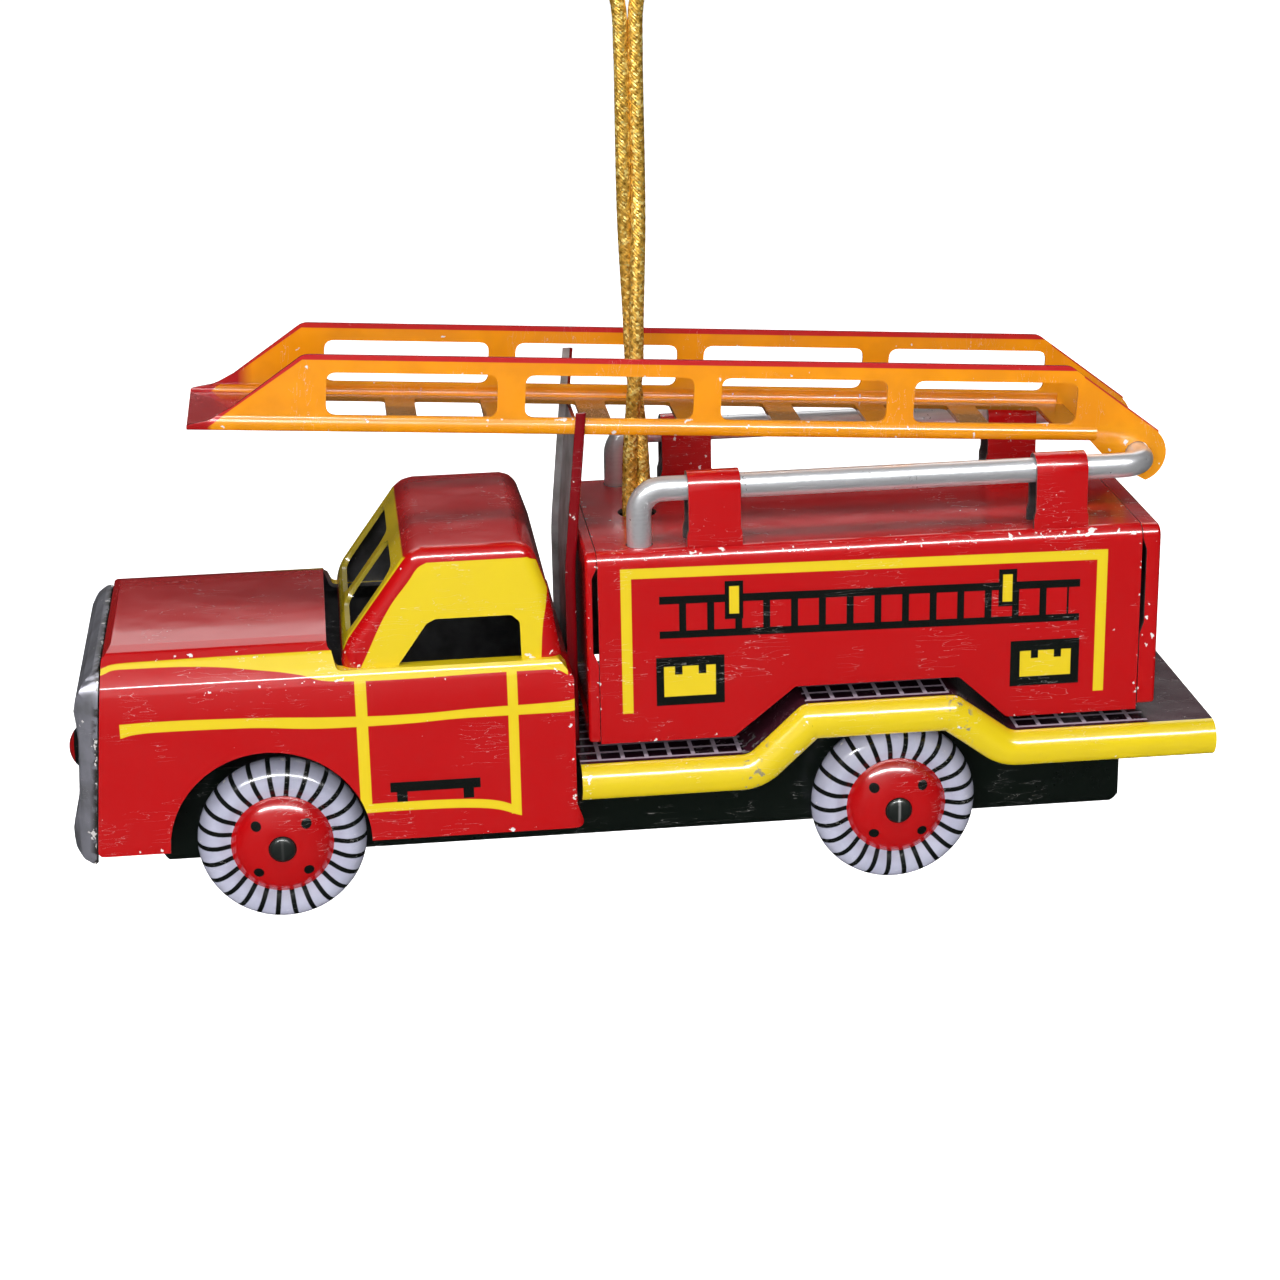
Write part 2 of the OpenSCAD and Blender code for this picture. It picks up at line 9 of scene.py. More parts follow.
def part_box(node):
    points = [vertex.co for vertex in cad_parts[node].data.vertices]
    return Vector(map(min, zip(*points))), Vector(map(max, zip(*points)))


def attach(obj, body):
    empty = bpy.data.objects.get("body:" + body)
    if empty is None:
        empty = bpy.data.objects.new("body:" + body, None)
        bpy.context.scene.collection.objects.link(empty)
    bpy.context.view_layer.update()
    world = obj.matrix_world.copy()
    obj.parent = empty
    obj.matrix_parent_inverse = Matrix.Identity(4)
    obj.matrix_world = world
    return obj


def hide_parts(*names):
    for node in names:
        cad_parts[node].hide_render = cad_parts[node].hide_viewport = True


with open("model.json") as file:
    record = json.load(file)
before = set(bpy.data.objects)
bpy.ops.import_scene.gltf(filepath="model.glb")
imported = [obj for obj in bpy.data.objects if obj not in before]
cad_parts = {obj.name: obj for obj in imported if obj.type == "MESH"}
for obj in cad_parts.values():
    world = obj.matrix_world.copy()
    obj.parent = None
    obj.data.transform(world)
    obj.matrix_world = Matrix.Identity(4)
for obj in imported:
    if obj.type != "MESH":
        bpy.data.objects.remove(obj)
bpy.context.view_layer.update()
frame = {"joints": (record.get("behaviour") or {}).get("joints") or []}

# The truck is modelled in millimetres: x back along the truck, y across it with its left side
# at minus y, and heights from the bottom of the wheels. settle() takes a piece to the frame.
joints = {joint["name"]: Vector(joint["pos_m"]) for joint in frame["joints"]}
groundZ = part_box("front_left_wheel_face")[0].z
frontAxleX = -0.0295  # where the front axle lies along the truck
originX = joints["front_wheels_spin"].x - frontAxleX
mm = 0.001


def truckMm(point):
    return Vector(((point[0] - originX) / mm, point[1] / mm, (point[2] - groundZ) / mm))


frontAxle = truckMm(joints["front_wheels_spin"])
rearAxle = truckMm(joints["rear_wheels_spin"])
pivot = truckMm(joints["ladder_raise"])
sheet = 0.35  # tin sheet
colours = {
    "red": (0.49, 0.0015, 0.003, 1),
    "darkRed": (0.22, 0.002, 0.006, 1),
    "yellow": (0.79, 0.595, 0.010, 1),
    "orange": (0.92, 0.33, 0.001, 1),
    "lineRed": (0.56, 0.016, 0.018, 1),
    "black": (0.006, 0.008, 0.007, 1),
    "maroon": (0.055, 0.010, 0.020, 1),
    "lilac": (0.56, 0.45, 0.55, 1),
    "tyre": (0.60, 0.61, 0.73, 1),
    "chip": (0.80, 0.77, 0.75, 1),
}

# camera and studio

studio = {
    "cameraAt": (-0.02487, -0.2262, 0.01834),
    "cameraTurn": (70.209, 0, -6.288),
    "cameraRoll": -1.105,
    "lens": 81.5,
    "floorDrop": 0.045,
    "floorSize": 6.0,
}


def addCamera():
    data = bpy.data.cameras.new("camera")
    data.lens = studio["lens"]
    data.sensor_width = 36
    data.clip_start = 0.01
    data.clip_end = 30
    camera = bpy.data.objects.new("camera", data)
    bpy.context.scene.collection.objects.link(camera)
    turn = Euler([math.radians(a) for a in studio["cameraTurn"]]).to_matrix()
    roll = Matrix.Rotation(math.radians(studio["cameraRoll"]), 3, "Z")
    camera.location = studio["cameraAt"]
    camera.rotation_euler = (turn @ roll).to_euler()
    bpy.context.scene.camera = camera


addCamera()
print("camera set")

# small modelling steps


def deselect():
    bpy.ops.object.select_all(action="DESELECT")


def only(ob):
    deselect()
    ob.select_set(True)
    bpy.context.view_layer.objects.active = ob


def modify(ob, kind, **settings):
    only(ob)
    made = ob.modifiers.new(kind.title(), kind)
    for key, value in settings.items():
        setattr(made, key, value)
    bpy.ops.object.modifier_apply(modifier=made.name)


def traceLine(name, points, closed=True):
    # one point, extruded from corner to corner
    deselect()
    bpy.ops.mesh.primitive_plane_add(size=0.1, location=points[0])
    ob = bpy.context.object
    ob.name = name
    bpy.ops.object.transform_apply(location=True, rotation=True, scale=True)
    bpy.ops.object.mode_set(mode="EDIT")
    bpy.ops.mesh.select_mode(type="VERT")
    bpy.ops.mesh.select_all(action="SELECT")
    bpy.ops.mesh.merge(type="CENTER")
    ends = points[1:] + (points[:1] if closed else [])
    for here, there in zip(points, ends):
        step = Vector(there) - Vector(here)
        bpy.ops.mesh.extrude_vertices_move(TRANSFORM_OT_translate={"value": step})
    bpy.ops.mesh.select_all(action="SELECT")
    bpy.ops.mesh.remove_doubles(threshold=0.002)
    if closed:
        bpy.ops.mesh.edge_face_add()
    bpy.ops.object.mode_set(mode="OBJECT")
    return ob


def placeOn(axis, pair, along):
    u, v = pair
    return {"x": (along, u, v), "y": (u, along, v), "z": (u, v, along)}[axis]


def extrudeAll(ob, step):
    only(ob)
    bpy.ops.object.mode_set(mode="EDIT")
    bpy.ops.mesh.select_all(action="SELECT")
    bpy.ops.mesh.extrude_region_move(TRANSFORM_OT_translate={"value": step})
    bpy.ops.mesh.select_all(action="SELECT")
    bpy.ops.mesh.normals_make_consistent(inside=False)
    bpy.ops.object.mode_set(mode="OBJECT")


def slab(name, outline, axis, low, high):
    # an outline drawn square to an axis, filled and pulled along it
    ob = traceLine(name, [placeOn(axis, p, low) for p in outline])
    extrudeAll(ob, placeOn(axis, (0, 0), high - low))
    return ob


def pickFaces(ob, test):
    only(ob)
    bpy.ops.object.mode_set(mode="EDIT")
    bpy.ops.mesh.select_mode(type="FACE")
    bpy.ops.mesh.select_all(action="DESELECT")
    bpy.ops.object.mode_set(mode="OBJECT")
    for face in ob.data.polygons:
        face.select = test(face.center, face.normal)
    bpy.ops.object.mode_set(mode="EDIT")


def pickPoints(ob, test):
    only(ob)
    bpy.ops.object.mode_set(mode="EDIT")
    bpy.ops.mesh.select_mode(type="VERT")
    bpy.ops.mesh.select_all(action="DESELECT")
    bpy.ops.object.mode_set(mode="OBJECT")
    for point in ob.data.vertices:
        point.select = test(point.co)
    bpy.ops.object.mode_set(mode="EDIT")


def turnOut(ob, outward):
    # one side of a sheet faces out: the one that the rule gives the larger sum for
    only(ob)
    bpy.ops.object.mode_set(mode="EDIT")
    bpy.ops.mesh.select_all(action="SELECT")
    bpy.ops.mesh.remove_doubles(threshold=0.004)
    bpy.ops.mesh.normals_make_consistent(inside=False)
    bpy.ops.object.mode_set(mode="OBJECT")
    if sum(outward(face.center, face.normal) * face.area for face in ob.data.polygons) < 0:
        bpy.ops.object.mode_set(mode="EDIT")
        bpy.ops.mesh.select_all(action="SELECT")
        bpy.ops.mesh.flip_normals()
        bpy.ops.object.mode_set(mode="OBJECT")


def openFaces(ob, test):
    pickFaces(ob, test)
    bpy.ops.mesh.delete(type="FACE")
    bpy.ops.object.mode_set(mode="OBJECT")


def combine(ob, tool, operation="DIFFERENCE", edge=True):
    # faces that the tool leaves take the bare edge's finish
    if edge:
        for slotFinish in ob.data.materials:
            tool.data.materials.append(slotFinish)
        for face in tool.data.polygons:
            face.material_index = 2
    modify(ob, "BOOLEAN", object=tool, operation=operation, solver="EXACT")
    bpy.data.objects.remove(tool)


def dress(ob, outside, inside=None, edge=None):
    ob.data.materials.clear()
    for finish in (outside, inside or outside, edge or outside):
        ob.data.materials.append(finish)


def mend(ob):
    # close up the slivers that cuts leave
    only(ob)
    bpy.ops.object.mode_set(mode="EDIT")
    bpy.ops.mesh.select_all(action="SELECT")
    bpy.ops.mesh.remove_doubles(threshold=0.02)
    bpy.ops.mesh.dissolve_degenerate(threshold=0.01)
    bpy.ops.object.mode_set(mode="OBJECT")


def thicken(ob, thickness=sheet, offset=-1):
    mend(ob)
    modify(ob, "SOLIDIFY", thickness=thickness, offset=offset, material_offset=1, material_offset_rim=2)


def softEdges(ob, width, segments=2, angle=40):
    modify(ob, "BEVEL", width=width, segments=segments, limit_method="ANGLE",
           angle_limit=math.radians(angle))


def settle(ob):
    only(ob)
    ob.scale = (mm, mm, mm)
    ob.location = (originX, 0, groundZ)
    bpy.ops.object.transform_apply(location=True, rotation=True, scale=True)


def fitPiece(ob, body, slotName, *nodes, angle=33):
    only(ob)
    bpy.ops.object.mode_set(mode="EDIT")
    bpy.ops.mesh.select_all(action="SELECT")
    bpy.ops.mesh.remove_doubles(threshold=0.002)
    bpy.ops.mesh.dissolve_degenerate(threshold=0.001)
    bpy.ops.object.mode_set(mode="OBJECT")
    settle(ob)
    bpy.ops.object.shade_smooth_by_angle(angle=math.radians(angle))
    modify(ob, "WEIGHTED_NORMAL", mode="FACE_AREA", keep_sharp=True)
    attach(ob, body)
    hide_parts(*nodes)


def arc(centre, radius, start, end, steps=6):
    angles = [math.radians(start + (end - start) * k / steps) for k in range(steps + 1)]
    return [(centre[0] + radius * math.cos(a), centre[1] + radius * math.sin(a)) for a in angles]


def softCorners(points, radius, steps=4, closed=True):
    # each corner gives way to a short curve
    made = []
    count = len(points)
    for i, corner in enumerate(points):
        here = Vector(corner)
        if not closed and i in (0, count - 1):
            made.append(tuple(here))
            continue
        toBefore = Vector(points[i - 1]) - here
        toAfter = Vector(points[(i + 1) % count]) - here
        half = max(toBefore.angle(toAfter) / 2, 0.1)
        if half > math.radians(86):
            made.append(tuple(here))
            continue
        setback = min(radius / math.tan(half), 0.45 * toBefore.length, 0.45 * toAfter.length)
        a = here + toBefore.normalized() * setback
        b = here + toAfter.normalized() * setback
        for k in range(steps + 1):
            t = k / steps
            made.append(tuple(a * (1 - t) ** 2 + here * 2 * t * (1 - t) + b * t * t))
    return made


def bothSides(half):
    # from the right half, drawn from the middle outward, to the whole section
    return half + [(-y, h) for y, h in reversed(half) if y > 0.001]


def roundRect(uLow, uHigh, vLow, vHigh, radius, steps=4):
    return softCorners([(uLow, vLow), (uHigh, vLow), (uHigh, vHigh), (uLow, vHigh)], radius, steps)


# node helpers for the finishes


def addNode(tree, kind, **settings):
    made = tree.nodes.new(kind)
    for key, value in settings.items():
        setattr(made, key, value)
    return made


def feed(tree, socket, value):
    if isinstance(value, bpy.types.NodeSocket):
        tree.links.new(value, socket)
    else:
        socket.default_value = value


def calc(tree, operation, *values, clamp=False):
    made = addNode(tree, "ShaderNodeMath", operation=operation, use_clamp=clamp)
    for socket, value in zip(made.inputs, values):
        feed(tree, socket, value)
    return made.outputs[0]


def without(tree, mask):
    return calc(tree, "SUBTRACT", 1.0, mask)


def above(tree, value, edge, soft=0.05):
    if isinstance(edge, bpy.types.NodeSocket):
        value = calc(tree, "SUBTRACT", value, edge)
        edge = 0
    return calc(tree, "MULTIPLY_ADD", value, 1 / soft, 0.5 - edge / soft, clamp=True)


def below(tree, value, edge, soft=0.05):
    return without(tree, above(tree, value, edge, soft))


def both(tree, *masks):
    made = masks[0]
    for mask in masks[1:]:
        made = calc(tree, "MULTIPLY", made, mask)
    return made


def either(tree, *masks):
    made = masks[0]
    for mask in masks[1:]:
        made = calc(tree, "MAXIMUM", made, mask)
    return made


def distance(tree, u, v):
    squares = calc(tree, "ADD", calc(tree, "POWER", u, 2.0), calc(tree, "POWER", v, 2.0))
    return calc(tree, "SQRT", squares)


def nearest(tree, value, pitch):
    # how far the closest of evenly spaced lines is
    return calc(tree, "ABSOLUTE", calc(tree, "WRAP", value, pitch / 2, -pitch / 2))


def between(tree, value, low, high, soft=0.05):
    return both(tree, above(tree, value, low, soft), below(tree, value, high, soft))


def panel(tree, u, v, uLow, uHigh, vLow, vHigh):
    return both(tree, between(tree, u, uLow, uHigh), between(tree, v, vLow, vHigh))


def curveOf(tree, value, points):
    # height of a drawn curve at this place along it
    xs = [p[0] for p in points]
    ys = [p[1] for p in points]
    low, high = min(ys) - 0.01, max(ys) + 0.01
    unit = addNode(tree, "ShaderNodeMapRange")
    for key, number in (("From Min", xs[0]), ("From Max", xs[-1])):
        unit.inputs[key].default_value = number
    feed(tree, unit.inputs["Value"], value)
    drawn = addNode(tree, "ShaderNodeFloatCurve")
    curve = drawn.mapping.curves[0]
    spots = [((px - xs[0]) / (xs[-1] - xs[0]), (py - low) / (high - low)) for px, py in points]
    curve.points[0].location = spots[0]
    curve.points[1].location = spots[-1]
    for spot in spots[1:-1]:
        curve.points.new(*spot)
    for point in curve.points:
        point.handle_type = "AUTO_CLAMPED"
    drawn.mapping.update()
    feed(tree, drawn.inputs["Value"], unit.outputs["Result"])
    return calc(tree, "MULTIPLY_ADD", drawn.outputs[0], high - low, low)


def mixColour(tree, mask, first, second, blend="MIX"):
    made = addNode(tree, "ShaderNodeMix", data_type="RGBA", clamp_factor=True, blend_type=blend)
    feed(tree, made.inputs[0], mask)
    feed(tree, made.inputs[6], first)
    feed(tree, made.inputs[7], second)
    return made.outputs[2]


def noise(tree, place, scale, detail=2.0, stretch=None):
    if stretch:
        turned = addNode(tree, "ShaderNodeMapping")
        turned.inputs["Scale"].default_value = stretch
        feed(tree, turned.inputs["Vector"], place)
        place = turned.outputs[0]
    made = addNode(tree, "ShaderNodeTexNoise")
    made.inputs["Scale"].default_value = scale
    made.inputs["Detail"].default_value = detail
    feed(tree, made.inputs["Vector"], place)
    return made.outputs["Fac"]


def startFinish(name, centre=None, tilt=0.0):
    # a new finish whose place is read in millimetres from a centre on the truck
    material = bpy.data.materials.new(name)
    material.use_nodes = True
    tree = material.node_tree
    coords = addNode(tree, "ShaderNodeTexCoord")
    place = addNode(tree, "ShaderNodeMapping")
    back = Matrix.Rotation(-tilt, 3, "Y")
    toTruck = Vector((originX, 0, groundZ)) / mm + (centre or Vector((0, 0, 0)))
    place.inputs["Scale"].default_value = (1 / mm, 1 / mm, 1 / mm)
    place.inputs["Rotation"].default_value = (0, -tilt, 0)
    place.inputs["Location"].default_value = -(back @ toTruck)
    feed(tree, place.inputs["Vector"], coords.outputs["Object"])
    split = addNode(tree, "ShaderNodeSeparateXYZ")
    feed(tree, split.inputs[0], place.outputs[0])
    x, y, h = split.outputs
    return material, tree, place.outputs[0], x, y, h


def endFinish(material, tree, place, colour, look, worn=None):
    # tin's own life: uneven ink, specks, hair scratches, chips to the metal, a slight wave
    shader = tree.nodes["Principled BSDF"]
    cloud = noise(tree, place, 0.22, 3)
    dusk = mixColour(tree, calc(tree, "MULTIPLY", cloud, look.get("cloud", 0.3)), colour,
                     look.get("shade", (0.35, 0.33, 0.31, 1)), "MULTIPLY")
    # chips, scattered and thicker where the piece is worn
    speck = noise(tree, place, look.get("chipScale", 1.5), 3)
    rare = noise(tree, place, 0.21, 1)
    limit = calc(tree, "MULTIPLY_ADD", rare, -0.10, look.get("chipLimit", 0.815))
    if worn is not None:
        limit = calc(tree, "SUBTRACT", limit, calc(tree, "MULTIPLY", worn, look.get("wear", 0.14)))
    chip = above(tree, speck, limit, 0.012)
    # hair scratches
    hair = noise(tree, place, 0.9, 2, stretch=look.get("hair", (0.35, 1.0, 2.6)))
    thin = calc(tree, "ABSOLUTE", calc(tree, "SUBTRACT", hair, 0.47))
    scratch = both(tree, below(tree, thin, 0.0022, 0.002), above(tree, rare, 0.56, 0.04))
    scuffed = mixColour(tree, calc(tree, "MULTIPLY", scratch, look.get("scratch", 0.35)), dusk,
                        colours["chip"])
    final = mixColour(tree, chip, scuffed, colours["chip"])
    feed(tree, shader.inputs["Base Color"], final)
    fine = noise(tree, place, 3.0, 4)
    rough = calc(tree, "MULTIPLY_ADD", fine, 0.10, look["rough"] - 0.05)
    rough = calc(tree, "MULTIPLY_ADD", cloud, 0.08, rough)
    rough = calc(tree, "MULTIPLY_ADD", scratch, 0.15, rough)
    feed(tree, shader.inputs["Roughness"], rough)
    shader.inputs["Metallic"].default_value = look.get("metal", 0.0)
    shader.inputs["Coat Weight"].default_value = look.get("coat", 0.5)
    shader.inputs["Coat Roughness"].default_value = look.get("coatRough", 0.08)
    shader.inputs["Specular IOR Level"].default_value = look.get("specular", 0.5)
    # relief: sheet wave, ink grain, chips and scratches cut in
    wave = addNode(tree, "ShaderNodeBump")
    wave.inputs["Strength"].default_value = look.get("wave", 0.25)
    wave.inputs["Distance"].default_value = 0.0006
    feed(tree, wave.inputs["Height"], noise(tree, place, 0.16, 2))
    grain = addNode(tree, "ShaderNodeBump")
    grain.inputs["Strength"].default_value = look.get("grain", 0.25)
    grain.inputs["Distance"].default_value = 0.00004
    cutIn = calc(tree, "ADD", calc(tree, "MULTIPLY", chip, -0.9), calc(tree, "MULTIPLY", scratch, -0.5))
    feed(tree, grain.inputs["Height"], calc(tree, "ADD", cutIn, calc(tree, "MULTIPLY", fine, 0.5)))
    feed(tree, grain.inputs["Normal"], wave.outputs[0])
    feed(tree, shader.inputs["Normal"], grain.outputs[0])
    return material


def layered(tree, base, *layers):
    made = base
    for mask, colour in layers:
        made = mixColour(tree, mask, made, colour)
    return made


# plain finishes shared by several pieces

inkLook = {"rough": 0.20, "coat": 0.6, "cloud": 0.10, "shade": (0.62, 0.35, 0.35, 1)}


def plainInk(name, colour, **changes):
    material, tree, place, x, y, h = startFinish(name)
    tone = addNode(tree, "ShaderNodeRGB").outputs[0]
    tone.default_value = colour
    return endFinish(material, tree, place, tone, dict(inkLook, **changes))


def bareTin(name, colour, rough=0.38, metal=0.85, **changes):
    material, tree, place, x, y, h = startFinish(name)
    stain = noise(tree, place, 0.5, 4)
    tone = mixColour(tree, above(tree, stain, 0.52, 0.3), colour,
                     (colour[0] * 0.55, colour[1] * 0.55, colour[2] * 0.52, 1))
    look = {"rough": rough, "metal": metal, "coat": 0.1, "coatRough": 0.3, "cloud": 0.25,
            "shade": (0.45, 0.42, 0.40, 1), "grain": 0.5}
    look.update(changes)
    return endFinish(material, tree, place, tone, look)


redInk = plainInk("redInk", colours["red"])
darkRedInk = plainInk("darkRedInk", colours["darkRed"], chipLimit=0.76)
insideTin = bareTin("insideTin", (0.16, 0.16, 0.17, 1), 0.42)
edgeTin = bareTin("edgeTin", (0.36, 0.35, 0.36, 1), 0.34)
print("shared finishes made")

# the hanging cord: one braid, up one side of the loop and down the other

cord = {
    "diameter": 0.0011,
    "swell": 1.1,  # the braid is fuller than its yarns' nominal size
    "girth": 3.45,  # millimetres around, for the weave's map
    "length": 0.1135,
    "sides": 24,
    "perSpan": 28,
    "braidPitch": 0.00086,
    "braidDepth": 0.05,
    "route": [
        (-0.0006, 0, -0.0545), (-0.0006, 0, -0.051), (-0.0005, -0.00035, -0.047),
        (-0.0002, -0.00062, -0.043), (0.0001, -0.00065, -0.0395), (0.0002, -0.00062, -0.036),
        (0.00035, -0.00052, -0.0325), (0.0005, -0.0003, -0.029), (0.00058, 0, -0.025),
        (0.00057, 0, -0.02), (0.00057, 0, -0.015), (0.00075, 0, -0.011), (0.0019, 0, -0.0075),
        (0.003, 0, -0.0045), (0.0029, 0, -0.0022), (0.0018, 0, -0.0002), (0, 0, 0.00055),
        (-0.0018, 0, -0.0002), (-0.0029, 0, -0.0022), (-0.003, 0, -0.0045), (-0.0019, 0, -0.0075),
        (-0.00075, 0, -0.011), (-0.00057, 0, -0.015), (-0.00057, 0, -0.02), (-0.00058, 0, -0.025),
        (-0.0005, 0.0003, -0.029), (-0.00035, 0.00052, -0.0325), (-0.0002, 0.00062, -0.036),
        (-0.0001, 0.00065, -0.0395), (0.0002, 0.00062, -0.043), (0.0005, 0.00035, -0.047),
        (0.0006, 0, -0.051), (0.0006, 0, -0.0545),
    ],
}


def smoothRoute(points, perSpan):
    made = []
    last = len(points) - 1
    for i in range(last):
        a = Vector(points[max(i - 1, 0)])
        b = Vector(points[i])
        c = Vector(points[i + 1])
        d = Vector(points[min(i + 2, last)])
        for k in range(perSpan):
            u = k / perSpan
            made.append(0.5 * (2 * b + (c - a) * u + (2 * a - 5 * b + 4 * c - d) * u * u
                               + (3 * b - a - 3 * c + d) * u ** 3))
    made.append(Vector(points[-1]))
    return made


def braidHeight(angle, run, pitch):
    # two sets of yarns that cross
    wind = 2 * math.pi * run / pitch
    return 0.5 + 0.5 * max(math.cos(4 * angle + wind), math.cos(4 * angle - wind))


def braidTube(name, line, radius, sides, pitch, depth):
    made = bmesh.new()
    weave = made.verts.layers.float.new("weave")
    layer = made.loops.layers.uv.new("UVMap")
    rings = []
    runs = [0.0]
    for i, here in enumerate(line):
        if i:
            runs.append(runs[-1] + (here - line[i - 1]).length)
        ahead = (line[min(i + 1, len(line) - 1)] - line[max(i - 1, 0)]).normalized()
        side = (Vector((0, 1, 0)) - ahead.y * ahead).normalized()
        up = ahead.cross(side)
        ring = []
        for k in range(sides):
            angle = 2 * math.pi * k / sides
            lift = braidHeight(angle, runs[-1], pitch)
            reach = radius * (1 - depth * (1 - lift))
            point = made.verts.new(here + reach * (math.cos(angle) * side + math.sin(angle) * up))
            point[weave] = lift
            ring.append(point)
        rings.append(ring)
    for i in range(len(rings) - 1):
        for k in range(sides):
            n = (k + 1) % sides
            face = made.faces.new((rings[i][k], rings[i][n], rings[i + 1][n], rings[i + 1][k]))
            face.smooth = True
            around = (k / sides, (k + 1) / sides, (k + 1) / sides, k / sides)
            along = (runs[i], runs[i], runs[i + 1], runs[i + 1])
            for corner, u, v in zip(face.loops, around, along):
                corner[layer].uv = (u * cord["girth"], v / mm)
    made.faces.new(list(reversed(rings[0])))
    made.faces.new(rings[-1])
    made.normal_update()
    mesh = bpy.data.meshes.new(name)
    made.to_mesh(mesh)
    made.free()
    ob = bpy.data.objects.new(name, mesh)
    bpy.context.scene.collection.objects.link(ob)
    return ob


def goldBraid():
    material = bpy.data.materials.new("goldBraid")
    material.use_nodes = True
    tree = material.node_tree
    shader = tree.nodes["Principled BSDF"]
    place = addNode(tree, "ShaderNodeUVMap", uv_map="UVMap").outputs[0]
    weave = addNode(tree, "ShaderNodeAttribute", attribute_name="weave").outputs["Fac"]
    flakes = addNode(tree, "ShaderNodeTexVoronoi", voronoi_dimensions="2D")
    flakes.inputs["Scale"].default_value = 5.5
    feed(tree, flakes.inputs["Vector"], place)
    tone = addNode(tree, "ShaderNodeSeparateColor")
    feed(tree, tone.inputs[0], flakes.outputs["Color"])
    glint = above(tree, tone.outputs[0], 0.80, 0.04)
    # painted shade: yarns darker where they dip into the weave, bright gold where they rise; the bright
    # flakes are painted glints
    weaveShadedYarn = mixColour(tree, weave, (0.30, 0.14, 0.010, 1), (1.0, 0.62, 0.10, 1))
    mottled = mixColour(tree, calc(tree, "MULTIPLY", tone.outputs[1], 0.65), weaveShadedYarn, (0.36, 0.18, 0.015, 1))
    final = mixColour(tree, glint, mottled, (1.0, 0.80, 0.25, 1))
    feed(tree, shader.inputs["Base Color"], final)
    shader.inputs["Metallic"].default_value = 0.6
    feed(tree, shader.inputs["Roughness"], calc(tree, "MULTIPLY_ADD", tone.outputs[2], 0.35, 0.22))
    threads = addNode(tree, "ShaderNodeTexWave", bands_direction="DIAGONAL")
    threads.inputs["Scale"].default_value = 2.2
    threads.inputs["Distortion"].default_value = 1.5
    feed(tree, threads.inputs["Vector"], place)
    relief = addNode(tree, "ShaderNodeBump")
    relief.inputs["Strength"].default_value = 0.7
    relief.inputs["Distance"].default_value = 0.00009
    mixed = calc(tree, "ADD", calc(tree, "MULTIPLY", threads.outputs["Fac"], 0.5), tone.outputs[0])
    feed(tree, relief.inputs["Height"], mixed)
    feed(tree, shader.inputs["Normal"], relief.outputs[0])
    return material


def makeCord():
    finish = goldBraid()
    line = smoothRoute(cord["route"], cord["perSpan"])
    radius = cord["diameter"] / 2
    tube = braidTube("hangingCord", line, radius * cord["swell"], cord["sides"], cord["braidPitch"],
                     cord["braidDepth"])
    tube.data.materials.append(finish)
    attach(tube, "truck")
    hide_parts("hanging_cord")
    # the knot: an overhand turn, drawn up under the roof
    low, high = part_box("cord_knot")
    middle = (low + high) / 2
    margin = radius + 0.00001
    reach = (high - low) / 2 - Vector((margin, margin, margin))
    turns = []
    steps = 120
    for k in range(steps + 1):
        t = 2 * math.pi * k / steps
        trefoil = Vector(((math.sin(t) + 2 * math.sin(2 * t)) / 3,
                          (math.cos(t) - 2 * math.cos(2 * t)) / 3, -math.sin(3 * t)))
        turns.append(middle + Vector((trefoil.x * reach.x, trefoil.y * reach.y, trefoil.z * reach.z)))
    knot = braidTube("cordKnot", turns, radius, 16, cord["braidPitch"], cord["braidDepth"])
    knot.data.materials.append(finish)
    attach(knot, "truck")
    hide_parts("cord_knot")
    total = sum((b - a).length for a, b in zip(line, line[1:]))
    print("cord made, length", round(total, 4))


makeCord()

# front body: hood, fenders and cab sides from one sheet

body = {
    "halfWidth": 12.2,
    "sill": 7.1,
    "rearX": -5.8,
    "cowlX": -25.2,
    "belt": 21.4,
    "seamTopX": -42.7,
    "seamTopH": 22.5,
    "seamSlope": 0.085,
    "archRadius": 8.0,
    "corner": 1.1,
    "section": [(0, 23.7), (5, 23.62), (8.2, 23.45), (9.4, 23.2), (10.0, 22.75), (10.3, 22.55),
                (11.1, 21.75), (11.65, 21.1), (11.95, 20.45), (12.12, 19.4), (12.2, 18.0),
                (12.2, 12.0)],
}
wedgeTop = [(-43.2, 22.0), (-42.4, 22.45), (-41.2, 22.62), (-38.0, 22.66), (-25.0, 22.7), (-6.2, 22.7)]
wedgeFoot = [(-43.2, 21.75), (-42.4, 22.05), (-41.2, 22.26), (-36.5, 22.22), (-30.3, 21.72),
             (-27.3, 21.3), (-24.6, 20.72), (-19.5, 20.6), (-11.2, 20.7), (-8.0, 20.7), (-6.2, 20.2)]
coachTop = [(-41.5, 18.26), (-38.4, 18.32), (-32.2, 18.2), (-23.2, 17.8), (-19.7, 17.72),
            (-13.3, 17.92), (-7.0, 18.05), (-5.0, 18.6)]
coachFoot = [(-41.5, 17.1), (-38.4, 17.45), (-32.2, 17.38), (-23.2, 16.92), (-19.7, 16.95),
             (-13.3, 17.15), (-7.0, 17.15), (-5.0, 17.6)]
doorFoot = [(-23.1, 9.5), (-20.0, 9.55), (-14.0, 9.4), (-10.3, 8.5)]


def seamX(h):
    return body["seamTopX"] - body["seamSlope"] * (body["seamTopH"] - h)


